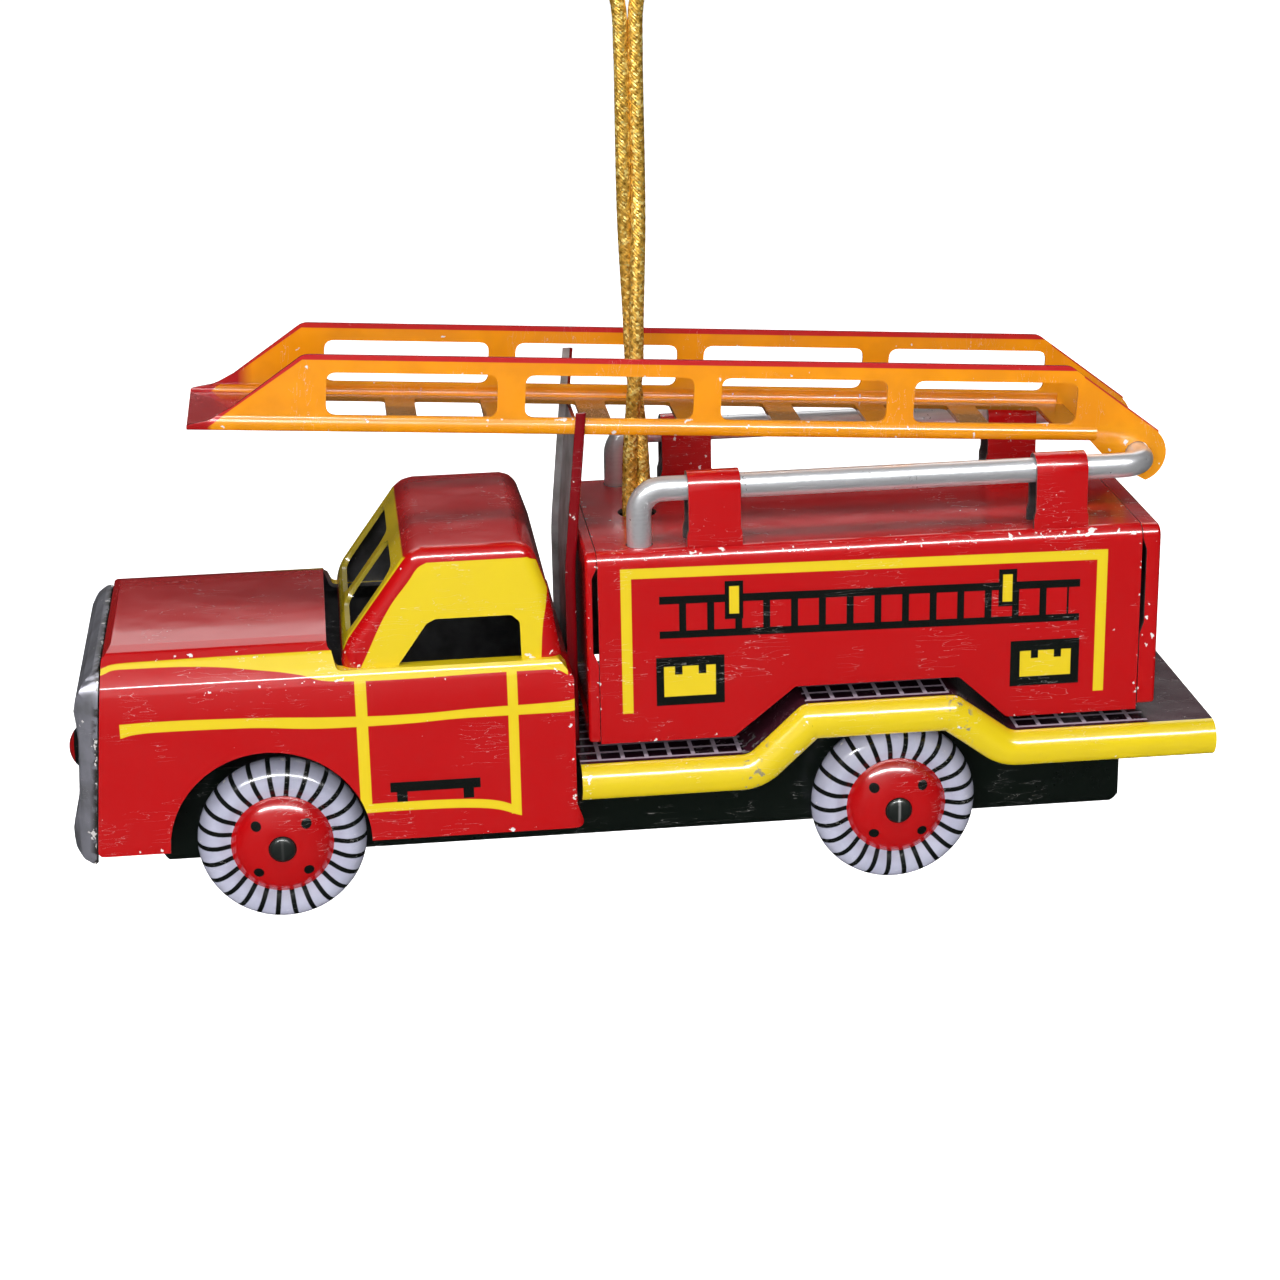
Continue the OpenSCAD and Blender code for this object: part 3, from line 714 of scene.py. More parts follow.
def bodyPrint():
    material, tree, place, x, y, h = startFinish("bodyPrint")
    side = calc(tree, "ABSOLUTE", y)
    outer = above(tree, side, 9.6)
    wedge = both(tree, outer, between(tree, x, -43.2, -6.25),
                 above(tree, h, curveOf(tree, x, wedgeFoot)),
                 below(tree, h, curveOf(tree, x, wedgeTop)))
    over = calc(tree, "MULTIPLY", calc(tree, "ADD", x, 38.5), 0.14)
    farStrip = both(tree, above(tree, calc(tree, "ADD", y, over), 10.15), between(tree, x, -38.5, -24.0),
                    above(tree, h, 22.3), below(tree, y, 10.4))
    coach = both(tree, outer, above(tree, x, -41.5), above(tree, h, curveOf(tree, x, coachFoot)),
                 below(tree, h, curveOf(tree, x, coachTop)))
    foot = curveOf(tree, x, doorFoot)
    door = either(
        tree,
        panel(tree, x, h, -23.1, -22.2, 9.6, 20.9),
        panel(tree, x, h, -11.1, -10.3, 8.7, 20.9),
        both(tree, between(tree, x, -23.1, -10.3), above(tree, h, foot),
             below(tree, h, calc(tree, "ADD", foot, 0.75))),
    )
    step = either(tree, panel(tree, x, h, -20.7, -13.5, 11.15, 12.0),
                  panel(tree, x, h, -20.2, -19.35, 10.3, 11.2),
                  panel(tree, x, h, -14.9, -14.05, 10.3, 11.2))
    colour = layered(
        tree, colours["red"],
        (either(tree, wedge, farStrip, coach, both(tree, outer, door)), colours["yellow"]),
        (both(tree, outer, step), colours["black"]),
    )
    # worn along the hood's crease, the shoulder and the sill
    worn = either(
        tree,
        both(tree, outer, between(tree, h, 22.5, 22.95, 0.2), below(tree, x, -25.0)),
        both(tree, outer, between(tree, h, 20.0, 20.9, 0.4), above(tree, x, -36.0)),
        below(tree, h, 7.5, 0.3),
        above(tree, x, -6.3, 0.4),
    )
    return endFinish(material, tree, place, colour, dict(inkLook, wear=0.10), worn)


def makeBodyShell():
    sides = bothSides(softCorners(body["section"] + [(12.2, 6.9)], 0.8, 3, closed=False))
    outer = slab("bodyShell", sides, "x", -48, -2)
    low = body["sill"]
    profile = softCorners([
        (seamX(low), low), (seamX(22.3), 22.3), (-42.7, 22.9), (-41.9, 23.55), (-39.5, 23.8),
        (body["cowlX"], 24.2), (-24.4, body["belt"]), (-6.9, body["belt"]), (body["rearX"], 20.0),
        (body["rearX"], 9.2), (-5.1, low)], 0.5, 4)
    combine(outer, slab("tool", profile, "y", -20, 20), "INTERSECT", edge=False)
    half = body["halfWidth"]
    corner = body["corner"]
    cornerX = body["rearX"] - 0.35
    plan = ([(-50, -half), (cornerX, -half)] + arc((cornerX, corner - half), corner, -70, 0, 5)
            + arc((cornerX, half - corner), corner, 0, 70, 5) + [(cornerX, half), (-50, half)])
    combine(outer, slab("tool", plan, "z", 0, 30), "INTERSECT", edge=False)
    dress(outer, bodyPrint(), insideTin, edgeTin)
    openFaces(outer, lambda c, n: n.z < -0.9 or n.x < -0.9)
    thicken(outer)
    for s in (-1, 1):
        arch = slab("tool", arc((frontAxle.x - 0.8, low + 0.1), body["archRadius"], 0, 352.5, 47), "y",
                    s * 10.5 - 3, s * 10.5 + 3)
        combine(outer, arch)
    combine(outer, slab("tool", roundRect(body["cowlX"] + 0.1, -7.0, -10.2, 10.2, 0.8), "z", 19.5, 26))
    combine(outer, slab("tool", roundRect(-7.35, 7.35, 2, 12.2, 0.3), "x", -8, -4))
    softEdges(outer, 0.07)
    fitPiece(outer, "truck", "litho_red", "body_shell")


makeBodyShell()
print("front body made")

# grille cap

grille = {
    "face": [(-43.4, 22.25), (-44.15, 21.5), (-44.8, 20.3), (-45.02, 19.3), (-44.9, 18.2),
             (-44.82, 16.8), (-45.1, 12.6), (-45.3, 10.9), (-45.75, 9.7), (-46.0, 8.5), (-45.85, 7.4),
             (-45.2, 6.65), (-44.4, 6.4)],
    "corner": 3.2,
    "lampRadius": 2.15,
    "lampY": 7.9,
    "lampH": 15.0,
    "ribs": 9,
    "ribPitch": 1.05,
}


def grillePaint():
    material, tree, place, x, y, h = startFinish("grillePaint")
    side = calc(tree, "ABSOLUTE", y)
    away = distance(tree, calc(tree, "SUBTRACT", side, grille["lampY"]),
                    calc(tree, "SUBTRACT", h, grille["lampH"]))
    front = below(tree, x, -44.7, 0.1)
    # dark between the pressed ribs
    row = nearest(tree, y, grille["ribPitch"])
    gaps = both(tree, front, below(tree, side, 4.72), between(tree, h, 12.6, 18.6),
                above(tree, row, 0.3, 0.1))
    grime = noise(tree, place, 0.45, 4)
    grey = mixColour(tree, above(tree, grime, 0.5, 0.25), (0.25, 0.25, 0.29, 1), (0.17, 0.17, 0.19, 1))
    # darker in broken patches along the seam with the hood
    up = calc(tree, "ADD", h, -body["seamTopH"])
    edge = calc(tree, "MULTIPLY_ADD", up, body["seamSlope"], body["seamTopX"])
    seamBand = both(tree, above(tree, calc(tree, "SUBTRACT", x, edge), -0.45, 0.5),
                above(tree, noise(tree, place, 1.4, 3), 0.46, 0.1))
    colour = layered(
        tree, grey,
        (seamBand, (0.03, 0.025, 0.02, 1)),
        (gaps, colours["black"]),
        (both(tree, front, below(tree, away, 2.2)), colours["black"]),
        (both(tree, front, below(tree, away, 1.35)), colours["red"]),
    )
    look = {"rough": 0.36, "coat": 0.15, "coatRough": 0.2, "cloud": 0.2, "shade": (0.4, 0.4, 0.4, 1),
            "metal": 0.35, "grain": 0.4, "chipLimit": 0.77}
    return endFinish(material, tree, place, colour, look, seamBand)


def makeGrille():
    half = body["halfWidth"]
    gap = 0.12  # dark joint between cap and hood
    sides = bothSides(body["section"] + [(12.2, 5.9)])
    cap = slab("grilleFront", sides, "x", -48, -40)
    profile = softCorners([(seamX(22.4) - gap, 22.4)] + grille["face"] + [(seamX(6.4) - gap, 6.4)], 0.4, 3)
    combine(cap, slab("tool", profile, "y", -20, 20), "INTERSECT", edge=False)
    # rounded front corners, seen from above
    r = grille["corner"]
    plan = ([(-40, half)] + arc((-46.0 + r, half - r), r, 90, 180, 8)
            + arc((-46.0 + r, -half + r), r, 180, 270, 8) + [(-40, -half)])
    combine(cap, slab("tool", plan, "z", 0, 30), "INTERSECT", edge=False)
    dress(cap, grillePaint(), insideTin, edgeTin)
    for s in (-1, 1):
        deselect()
        bpy.ops.mesh.primitive_uv_sphere_add(segments=40, ring_count=20, radius=grille["lampRadius"],
                                             location=(-43.75, s * grille["lampY"], grille["lampH"]))
        lamp = bpy.context.object
        bpy.ops.object.transform_apply(location=True, rotation=True, scale=True)
        combine(cap, lamp, "UNION", edge=False)
    first = -(grille["ribs"] - 1) / 2
    for k in range(grille["ribs"]):
        y = (first + k) * grille["ribPitch"]
        rib = slab("tool", roundRect(y - 0.26, y + 0.26, 12.9, 18.3, 0.25), "x", -45.35, -43.9)
        softEdges(rib, 0.12, 2)
        combine(cap, rib, "UNION", edge=False)
    openFaces(cap, lambda c, n: n.x > 0.9 and c.x > -44.6)
    thicken(cap, 0.3)
    softEdges(cap, 0.05)
    fitPiece(cap, "truck", "bare_tin", "grille_front")


makeGrille()
print("grille made")

# cab

cab = {
    "outline": [(-24.0, 21.4), (-24.0, 22.9), (-18.25, 30.8), (-8.75, 30.8), (-7.5, 27.0),
                (-6.55, 21.4)],
    "halfWidth": 10.9,
    "roof": 30.95,
    "roll": 1.15,
    "window": [(-19.6, 21.0), (-19.5, 21.5), (-17.2, 24.75), (-16.5, 25.1), (-10.5, 25.1),
               (-9.85, 24.5), (-9.8, 21.0)],
}


def cabPrint():
    material, tree, place, x, y, h = startFinish("cabPrint")
    side = calc(tree, "ABSOLUTE", y)
    fore = curveOf(tree, h, [(21.2, -22.6), (21.9, -22.25), (26.15, -20.1), (28.4, -18.4),
                             (29.4, -17.65), (29.75, -17.0)])
    rear = curveOf(tree, h, [(21.2, -8.25), (24.0, -8.05), (26.0, -7.7), (27.4, -7.55),
                             (28.8, -7.95), (29.75, -9.1)])
    frameSide = both(tree, above(tree, side, 10.1), above(tree, x, fore), below(tree, x, rear),
                     below(tree, h, 29.75))
    # distance behind the windscreen's plane
    depth = calc(tree, "SUBTRACT", calc(tree, "MULTIPLY", calc(tree, "ADD", x, 24.0), 0.808),
                 calc(tree, "MULTIPLY", calc(tree, "SUBTRACT", h, 22.9), 0.589))
    screen = both(tree, below(tree, depth, 0.28, 0.1), below(tree, side, 10.15),
                  below(tree, h, 30.0, 0.15))
    colour = layered(tree, colours["red"], (either(tree, frameSide, screen), colours["yellow"]))
    rearFoot = both(tree, above(tree, x, -7.6, 0.3), below(tree, h, 23.0, 1.0))
    worn = either(tree, below(tree, h, 21.9, 0.4), rearFoot)
    return endFinish(material, tree, place, colour, dict(inkLook, wear=0.13), worn)


def makeCab():
    w = cab["halfWidth"]
    half = [(0, cab["roof"]), (w - 0.1, cab["roof"] - 0.2), (w, 26), (w, 20)]
    shell = slab("cabTop", bothSides(half), "x", -28, -4)
    combine(shell, slab("tool", cab["outline"], "y", -20, 20), "INTERSECT", edge=False)
    frameEdge = plainInk("frameEdge", (0.40, 0.32, 0.03, 1))
    dress(shell, cabPrint(), insideTin, frameEdge)
    openFaces(shell, lambda c, n: n.z < -0.9)
    softEdges(shell, cab["roll"], 6, 28)
    thicken(shell)
    window = softCorners(cab["window"], 0.45, 3)
    combine(shell, slab("tool", window, "y", -20, 20))
    for s in (-1, 1):
        panes = sorted((s * 0.6, s * 8.9))
        combine(shell, slab("tool", roundRect(*panes, 23.5, 28.8, 1.3, 5), "x", -26, -17.4))
    softEdges(shell, 0.05)
    fitPiece(shell, "truck", "litho_red", "cab_top")


makeCab()
print("cab made")

# chassis pan


def makePan():
    section = ([(-7.2, 13.2)] + arc((-6.4, 4.9), 0.8, 180, 270, 5) + arc((6.4, 4.9), 0.8, 270, 360, 5)
               + [(7.2, 13.2)])
    pan = slab("chassisPan", section, "x", -39.8, 40.2)
    outline = [(-39.8, 12.05), (-39.8, 6.0), (-38.6, 3.9), (39.4, 3.9), (40.2, 5.0), (40.2, 12.75),
               (14.0, 12.75), (10.0, 12.05)]
    combine(pan, slab("tool", outline, "y", -9, 9), "INTERSECT", edge=False)
    black = plainInk("blackInk", colours["black"], rough=0.26, chipLimit=0.83, shade=(0.3, 1.0, 0.45, 1),
                     cloud=0.5)
    dress(pan, black, insideTin, edgeTin)
    openFaces(pan, lambda c, n: n.z > 0.7)
    thicken(pan)
    for axle in (frontAxle, rearAxle):
        combine(pan, slab("tool", arc((axle.x, axle.z), 0.78, 0, 345, 23), "y", -9, 9))
    # ledges under the front body
    for s in (-1, 1):
        deselect()
        bpy.ops.mesh.primitive_cube_add(size=1, location=(-14, s * 9.5, 7.48), scale=(12, 4.62, sheet))
        ledge = bpy.context.object
        bpy.ops.object.transform_apply(location=True, rotation=True, scale=True)
        softEdges(ledge, 0.1, 2)
        combine(pan, ledge, "UNION", edge=False)
    softEdges(pan, 0.05)
    fitPiece(pan, "truck", "litho_black", "chassis_pan")


makePan()
print("chassis made")

# running board

board = {
    "line": [(-5.4, 12.4), (8.2, 12.4), (12.6, 16.5), (25.2, 16.5), (29.8, 13.1), (46.6, 13.1)],
    "flat": 11.7,
    "roll": 1.5,
    "bend": 1.6,
}


def boardPrint():
    material, tree, place, x, y, h = startFinish("boardPrint")
    side = calc(tree, "ABSOLUTE", y)
    roll = above(tree, side, 11.78, 0.06)
    treads = either(tree, between(tree, x, -5.6, 8.0), between(tree, x, 12.9, 24.7),
                    between(tree, x, 30.3, 41.3))
    acrossLine = below(tree, nearest(tree, x, 1.9), 0.17)
    alongLine = below(tree, nearest(tree, calc(tree, "SUBTRACT", side, 11.1), 1.6), 0.17)
    top = both(tree, treads, below(tree, side, 11.27))
    cells = both(tree, top, either(tree, acrossLine, alongLine))
    deep = mixColour(tree, top, colours["maroon"], (0.012, 0.002, 0.006, 1))
    scuff = both(tree, either(tree, between(tree, x, 7.6, 9.6, 0.4), between(tree, x, 24.4, 26.2, 0.4)),
                 above(tree, noise(tree, place, 1.3, 3), 0.6, 0.05))
    colour = layered(tree, deep, (cells, colours["lilac"]), (roll, colours["yellow"]),
                     (calc(tree, "MULTIPLY", scuff, 0.8), (0.20, 0.19, 0.19, 1)))
    worn = both(tree, either(tree, between(tree, x, 11.6, 13.6, 0.6), between(tree, x, 24.2, 26.2, 0.6),
                             below(tree, x, -4.6, 0.4)), roll)
    look = dict(inkLook, shade=(0.55, 0.5, 0.45, 1), cloud=0.2, wear=0.12)
    return endFinish(material, tree, place, colour, look, worn)


def makeBoard():
    flat, roll = board["flat"], board["roll"]
    right = arc((flat, -roll), roll, 90, -80, 14)
    rightIn = arc((flat, -roll), roll - sheet, -80, 90, 14)
    section = right + rightIn
    section += [(-u, v) for u, v in reversed(rightIn)] + [(-u, v) for u, v in reversed(right)]
    profile = traceLine("boardSection", [(u, v, 0) for u, v in section])
    only(profile)
    bpy.ops.object.mode_set(mode="EDIT")
    bpy.ops.mesh.select_all(action="SELECT")
    bpy.ops.mesh.delete(type="ONLY_FACE")
    bpy.ops.object.mode_set(mode="OBJECT")
    bpy.ops.object.convert(target="CURVE")
    line = softCorners(board["line"], board["bend"], 6, closed=False)
    path = traceLine("runningBoard", [(u, 0, v) for u, v in line], closed=False)
    only(path)
    bpy.ops.object.convert(target="CURVE")
    path = bpy.context.object
    path.data.twist_mode = "Z_UP"
    path.data.bevel_mode = "OBJECT"
    path.data.bevel_object = bpy.data.objects["boardSection"]
    path.data.use_fill_caps = True
    only(path)
    bpy.ops.object.convert(target="MESH")
    tread = bpy.context.object
    bpy.data.objects.remove(bpy.data.objects["boardSection"])
    only(tread)
    bpy.ops.object.mode_set(mode="EDIT")
    bpy.ops.mesh.select_all(action="SELECT")
    bpy.ops.mesh.remove_doubles(threshold=0.002)
    bpy.ops.mesh.normals_make_consistent(inside=False)
    bpy.ops.object.mode_set(mode="OBJECT")
    dress(tread, boardPrint(), insideTin, edgeTin)
    fitPiece(tread, "truck", "litho_maroon", "running_board")


makeBoard()
print("running board made")

# box behind the cab

box = {
    "frontX": -3.6,
    "rearX": 40.4,
    "halfWidth": 10.7,
    "roof": 29.6,
    "foot": 13.6,
    "bend": 1.1,
    "strapX": (5.9, 33.9),
    "rodY": 8.5,
    "cordX": 0.8,
}


def boxPrint():
    material, tree, place, x, y, h = startFinish("boxPrint")
    side = calc(tree, "ABSOLUTE", y)
    outer = above(tree, side, 10.2)
    lifted = calc(tree, "MULTIPLY_ADD", x, 0.0127, h)  # the print drops a little to the rear
    border = either(tree, panel(tree, x, h, -1.8, -0.95, 16.1, 28.0),
                    panel(tree, x, h, 36.75, 37.6, 15.7, 27.6),
                    panel(tree, x, lifted, -1.8, 37.6, 27.43, 28.28))
    rungs = both(tree, between(tree, x, 2.8, 34.5), between(tree, lifted, 22.6, 25.6),
                 below(tree, nearest(tree, calc(tree, "SUBTRACT", x, 3.12), 2.25), 0.29))
    black = either(
        tree, rungs,
        panel(tree, x, lifted, 1.25, 35.4, 25.2, 25.87),
        panel(tree, x, lifted, 1.25, 35.4, 22.32, 22.95),
        panel(tree, x, lifted, 6.5, 8.0, 23.75, 26.95),
        panel(tree, x, lifted, 28.7, 30.2, 23.8, 26.95),
        panel(tree, x, h, 0.93, 6.45, 16.6, 20.7),
        panel(tree, x, h, 29.8, 35.5, 16.5, 20.4),
    )
    plates = either(
        tree,
        panel(tree, x, lifted, 6.87, 7.65, 24.2, 26.5),
        panel(tree, x, lifted, 29.05, 29.83, 24.2, 26.5),
        both(tree, panel(tree, x, h, 1.56, 5.73, 17.35, 19.9),
             without(tree, either(tree, panel(tree, x, h, 2.44, 3.05, 19.2, 20),
                                  panel(tree, x, h, 4.35, 4.97, 19.2, 20)))),
        both(tree, panel(tree, x, h, 30.6, 34.8, 17.3, 19.5),
             without(tree, either(tree, panel(tree, x, h, 31.5, 32.1, 18.85, 20),
                                  panel(tree, x, h, 33.4, 34.0, 18.85, 20)))),
    )
    colour = layered(
        tree, colours["red"],
        (both(tree, outer, border), colours["yellow"]),
        (both(tree, outer, black), colours["black"]),
        (both(tree, outer, plates), colours["yellow"]),
    )
    worn = either(tree, both(tree, above(tree, side, 10.0, 0.2), above(tree, h, 28.8, 0.3)),
                  below(tree, h, 14.2, 0.5), below(tree, x, -3.2, 0.3), above(tree, x, 40.0, 0.3))
    return endFinish(material, tree, place, colour, dict(inkLook, wear=0.11), worn)


def roofSection(inset, foot):
    # right half of the box's section, from the middle of the roof to the foot
    w = box["halfWidth"] - inset
    top = box["roof"] - inset
    bend = box["bend"] - inset
    return [(0, top + 0.04), (w - bend - 1.5, top)] + arc((w - bend, top - bend), bend, 90, 0, 6) + [
        (w, 27.6), (w, 24.5), (w, 21.4), (w, 20.4), (w, foot)]


def makeBox():
    half = roofSection(0, box["foot"])
    section = list(reversed([(-u, v) for u, v in half[1:]])) + half
    shell = traceLine("boxShell", [(box["frontX"], u, v) for u, v in section], closed=False)
    extrudeAll(shell, (box["rearX"] - box["frontX"], 0, 0))
    turnOut(shell, lambda c, n: n.z)
    dress(shell, boxPrint(), insideTin, edgeTin)
    thicken(shell)
    # raised over the rear wheels
    foot = softCorners([(7.2, 10), (7.2, 13.6), (12.2, 17.6), (25.6, 17.6), (29.6, 13.9), (60, 13.9),
                        (60, 10)], 0.5, 3)
    combine(shell, slab("tool", foot, "y", -20, 20))
    # holes in the roof for the cord, the rail's ends and the straps' legs
    holes = [arc((box["cordX"], 0), 1.6, 0, 350, 35)]
    for s in (-1, 1):
        holes.append(arc((0, s * box["rodY"]), 1.08, 0, 345, 23))
        for x in box["strapX"]:
            for leg in (-1.22, 1.22):
                y = s * box["rodY"] + leg
                holes.append(roundRect(x - 2.2, x + 2.2, y - 0.24, y + 0.24, 0.1, 2))
    for hole in holes:
        combine(shell, slab("tool", hole, "z", 28, 31))
    softEdges(shell, 0.05)
    fitPiece(shell, "truck", "litho_red", "box_shell")


makeBox()
print("box made")


def capPrint(name, framed):
    material, tree, place, x, y, h = startFinish(name)
    side = calc(tree, "ABSOLUTE", y)
    if framed:
        ring = both(tree, below(tree, side, 8.6), between(tree, h, 16.6, 27.2))
        hole = both(tree, below(tree, side, 7.8), between(tree, h, 17.4, 26.4))
        mask = both(tree, ring, without(tree, hole), above(tree, x, 41.0))
        colour = layered(tree, colours["red"], (mask, colours["yellow"]))
    else:
        tone = noise(tree, place, 0.4, 2)
        colour = mixColour(tree, tone, colours["red"], (0.48, 0.003, 0.006, 1))
    worn = above(tree, side, 10.3, 0.3)
    return endFinish(material, tree, place, colour, dict(inkLook, wear=0.10), worn)


def makeCap(name, node, faceX, depth, foot, way, gapDepth, finish):
    # a pressed end: a plate with a rim turned towards the box
    half = roofSection(0.06, foot)
    section = bothSides(half)
    rimX = faceX - way * depth
    cap = slab(name, section, "x", min(faceX, rimX), max(faceX, rimX))
    dress(cap, finish, insideTin, edgeTin)
    openFaces(cap, lambda c, n: n.x * way < -0.9)
    softEdges(cap, 0.3, 4, 50)
    pickFaces(cap, lambda c, n: n.x * way > 0.99)
    bpy.ops.mesh.inset(thickness=1.3, depth=0, use_even_offset=False)
    bpy.ops.mesh.inset(thickness=0.3, depth=-0.25, use_even_offset=False)
    bpy.ops.object.mode_set(mode="OBJECT")
    # the rim stands off the box where it has sprung open
    pickPoints(cap, lambda p: 21.0 < p.z < 28.0 and abs(p.y) > 10 and abs(p.x - rimX) < 0.01)
    bpy.ops.transform.translate(value=(way * gapDepth, 0, 0))
    bpy.ops.object.mode_set(mode="OBJECT")
    thicken(cap, 0.3)
    softEdges(cap, 0.05)
    fitPiece(cap, "truck", "litho_red", node)


frontCapPrint = capPrint("frontCapPrint", framed=False)
rearCapPrint = capPrint("rearCapPrint", framed=True)
makeCap("boxFrontCap", "box_front_cap", -4.55, 0.9, 13.7, -1, 0.42, frontCapPrint)
makeCap("boxRearCap", "box_rear_cap", 42.0, 1.5, 14.3, 1, 0.32, rearCapPrint)
print("box ends made")

# ladder support between cab and box

support = {
    "rearX": -4.95,
    "foot": 12.4,
    "knee": 27.0,
    "lean": 5.3,
    "seat": 37.6,
    "halfWidth": 6.55,
    "flange": 0.85,
    "leftEar": 40.0,
    "rightEar": 42.1,
}


def makeSupport():
    back, w = support["rearX"], support["halfWidth"]
    fore = back - support["flange"]
    plan = softCorners([(fore, -w), (back, -w), (back, w), (fore, w)], 0.35, 4, closed=False)
    sheetUp = traceLine("ladderSupport", [(u, v, support["foot"]) for u, v in plan], closed=False)
    slope = math.tan(math.radians(support["lean"]))
    knee, seat = support["knee"], support["seat"]
    only(sheetUp)
    bpy.ops.object.mode_set(mode="EDIT")
    bpy.ops.mesh.select_all(action="SELECT")
    for step in ((0, 0, knee - support["foot"] - 0.8), (0.8 * slope, 0, 1.6),
                 ((seat - knee - 0.8) * slope, 0, seat - knee - 0.8)):
        bpy.ops.mesh.extrude_region_move(TRANSFORM_OT_translate={"value": step})
    bpy.ops.object.mode_set(mode="OBJECT")
    # ears beside the ladder, the right one left longer
    for top, ear, side in ((seat, support["leftEar"], -1), (seat, support["rightEar"], 1)):
        pickPoints(sheetUp, lambda p: p.z > top - 0.01 and p.y * side > w - 0.3)
        bpy.ops.mesh.select_mode(type="EDGE")
        step = ((ear - top) * slope, 0, ear - top)
        bpy.ops.mesh.extrude_region_move(TRANSFORM_OT_translate={"value": step})
        bpy.ops.object.mode_set(mode="OBJECT")
    turnOut(sheetUp, lambda c, n: n.x)
    supportTin = bareTin("supportTin", (0.40, 0.40, 0.41, 1), 0.42, 0.3)
    dress(sheetUp, darkRedInk, supportTin, darkRedInk)
    thicken(sheetUp, 0.3)
    softEdges(sheetUp, 0.06)
    fitPiece(sheetUp, "truck", "litho_red", "ladder_support")


makeSupport()
print("ladder support made")

# ladder

ladder = {
    "pitch": math.radians(3.6),
    "halfWidth": 5.5,
    "top": 7.2,
    "foot": 1.0,
    "length": 76.6,
    "start": -3.6,
    "bead": 0.62,
    "windows": 4,
    "windowLength": 13.4,
    "windowPitch": 15.6,
    "slots": 8,
    "slotLength": 5.4,
    "slotPitch": 7.8,
}


def ladderPrint():
    material, tree, place, x, y, h = startFinish("ladderPrint", pivot, ladder["pitch"])
    run = calc(tree, "MULTIPLY", x, -1.0)
    side = calc(tree, "ABSOLUTE", y)
    rim = above(tree, h, 6.8)
    # distance under the front and rear slopes
    rise = calc(tree, "SUBTRACT", h, ladder["top"])
    nose = calc(tree, "ADD", calc(tree, "MULTIPLY", calc(tree, "SUBTRACT", run, 67.4), 0.598),
                calc(tree, "MULTIPLY", rise, 0.801))
    tail = calc(tree, "ADD", calc(tree, "MULTIPLY", calc(tree, "SUBTRACT", run, 6.2), -0.557),
                calc(tree, "MULTIPLY", rise, 0.830))
    slopes = either(tree, above(tree, nose, -0.28),
                    both(tree, above(tree, tail, -0.1), below(tree, run, 5)))
    tip = either(tree, above(tree, run, 74.6, 0.4),
                 both(tree, above(tree, run, 72.0, 1.2), below(tree, side, 5.3)))
    # painted shade: the floor between the rails is painted dark brown; the trough also turns darker orange
    # towards the bottom
    floorShade = both(tree, below(tree, side, 5.0), below(tree, h, 1.6))
    soot = calc(tree, "MULTIPLY", above(tree, noise(tree, place, 0.35, 3), 0.5, 0.2), 0.25)
    colour = layered(
        tree, colours["orange"],
        (calc(tree, "MULTIPLY", below(tree, h, 2.4, 1.2), 0.25), (0.75, 0.38, 0.01, 1)),
        (soot, (0.62, 0.20, 0.004, 1)),
        (calc(tree, "MULTIPLY", floorShade, 0.8), (0.16, 0.07, 0.010, 1)),
        (either(tree, rim, slopes), colours["lineRed"]),
        (tip, (0.42, 0.008, 0.010, 1)),
    )
    bead = both(tree, above(tree, side, 5.3, 0.1), below(tree, h, 2.5, 0.2))
    worn = either(tree, bead, between(tree, h, 5.6, 6.3, 0.3))
    look = dict(inkLook, shade=(0.75, 0.55, 0.4, 1), cloud=0.3, wear=0.07, chipLimit=0.82,
                hair=(2.4, 1.0, 0.5))
    return endFinish(material, tree, place, colour, look, worn)


def makeLadder():
    w, top, foot = ladder["halfWidth"], ladder["top"], ladder["foot"]
    bead = ladder["bead"]
    half = ([(0, foot), (4.9, foot)] + arc((w - 0.28, foot + bead), bead, -90, 60, 7)
            + [(w, 2.3), (w, top)])
    section = list(reversed([(-u, v) for u, v in half[1:]])) + half
    trough = traceLine("ladder", [(ladder["start"], u, v) for u, v in section], closed=False)
    extrudeAll(trough, (0.2 - ladder["length"] - ladder["start"], 0, 0))
    turnOut(trough, lambda c, n: -n.z)
    orange = ladderPrint()
    dress(trough, orange)
    thicken(trough, 0.33)
    slopes = softCorners([(-3.6, 0.2), (-3.6, 5.456), (-6.2, 7.2), (-67.4, 7.2), (-72.9, 2.9),
                          (-74.6, 1.9), (-76.4, 1.5), (-76.6, 0.9), (-76.6, 0.2)], 1.3, 5)
    combine(trough, slab("tool", slopes, "y", -20, 20), "INTERSECT", edge=False)
    # pivot ears
    earLine = ([(-4.1, 5.8), (1.6, 1.97)] + arc((0, 0), 2.4, 48, -68, 12) + [(-2.4, -0.6), (-4.1, 1.1)])
    for s in (-1, 1):
        ear = slab("ear", earLine, "y", s * (w - 0.165) - 0.17, s * (w - 0.165) + 0.17)
        combine(ear, slab("tool", arc((0, 0), 1.05, 0, 345, 23), "y", -9, 9), edge=False)
        combine(trough, ear, "UNION", edge=False)
    for k in range(ladder["windows"]):
        start = -5.4 - k * ladder["windowPitch"]
        window = roundRect(start - ladder["windowLength"], start, 2.35, 5.8, 0.8, 5)
        combine(trough, slab("tool", window, "y", -9, 9))
    for k in range(ladder["slots"]):
        start = -6.1 - k * ladder["slotPitch"]
        slot = roundRect(start - ladder["slotLength"], start, -4.0, 4.0, 0.5, 4)
        combine(trough, slab("tool", slot, "z", -1, 2))
    softEdges(trough, 0.06)
    only(trough)
    trough.rotation_euler = (0, ladder["pitch"], 0)
    trough.location = pivot
    bpy.ops.object.transform_apply(location=True, rotation=True, scale=True)
    fitPiece(trough, "ladder", "litho_orange", "ladder")


makeLadder()
print("ladder made")

# rails and straps

rail = {"radius": 1.0, "height": pivot.z, "bend": 1.9, "corner": 2.2, "endH": 28.3}


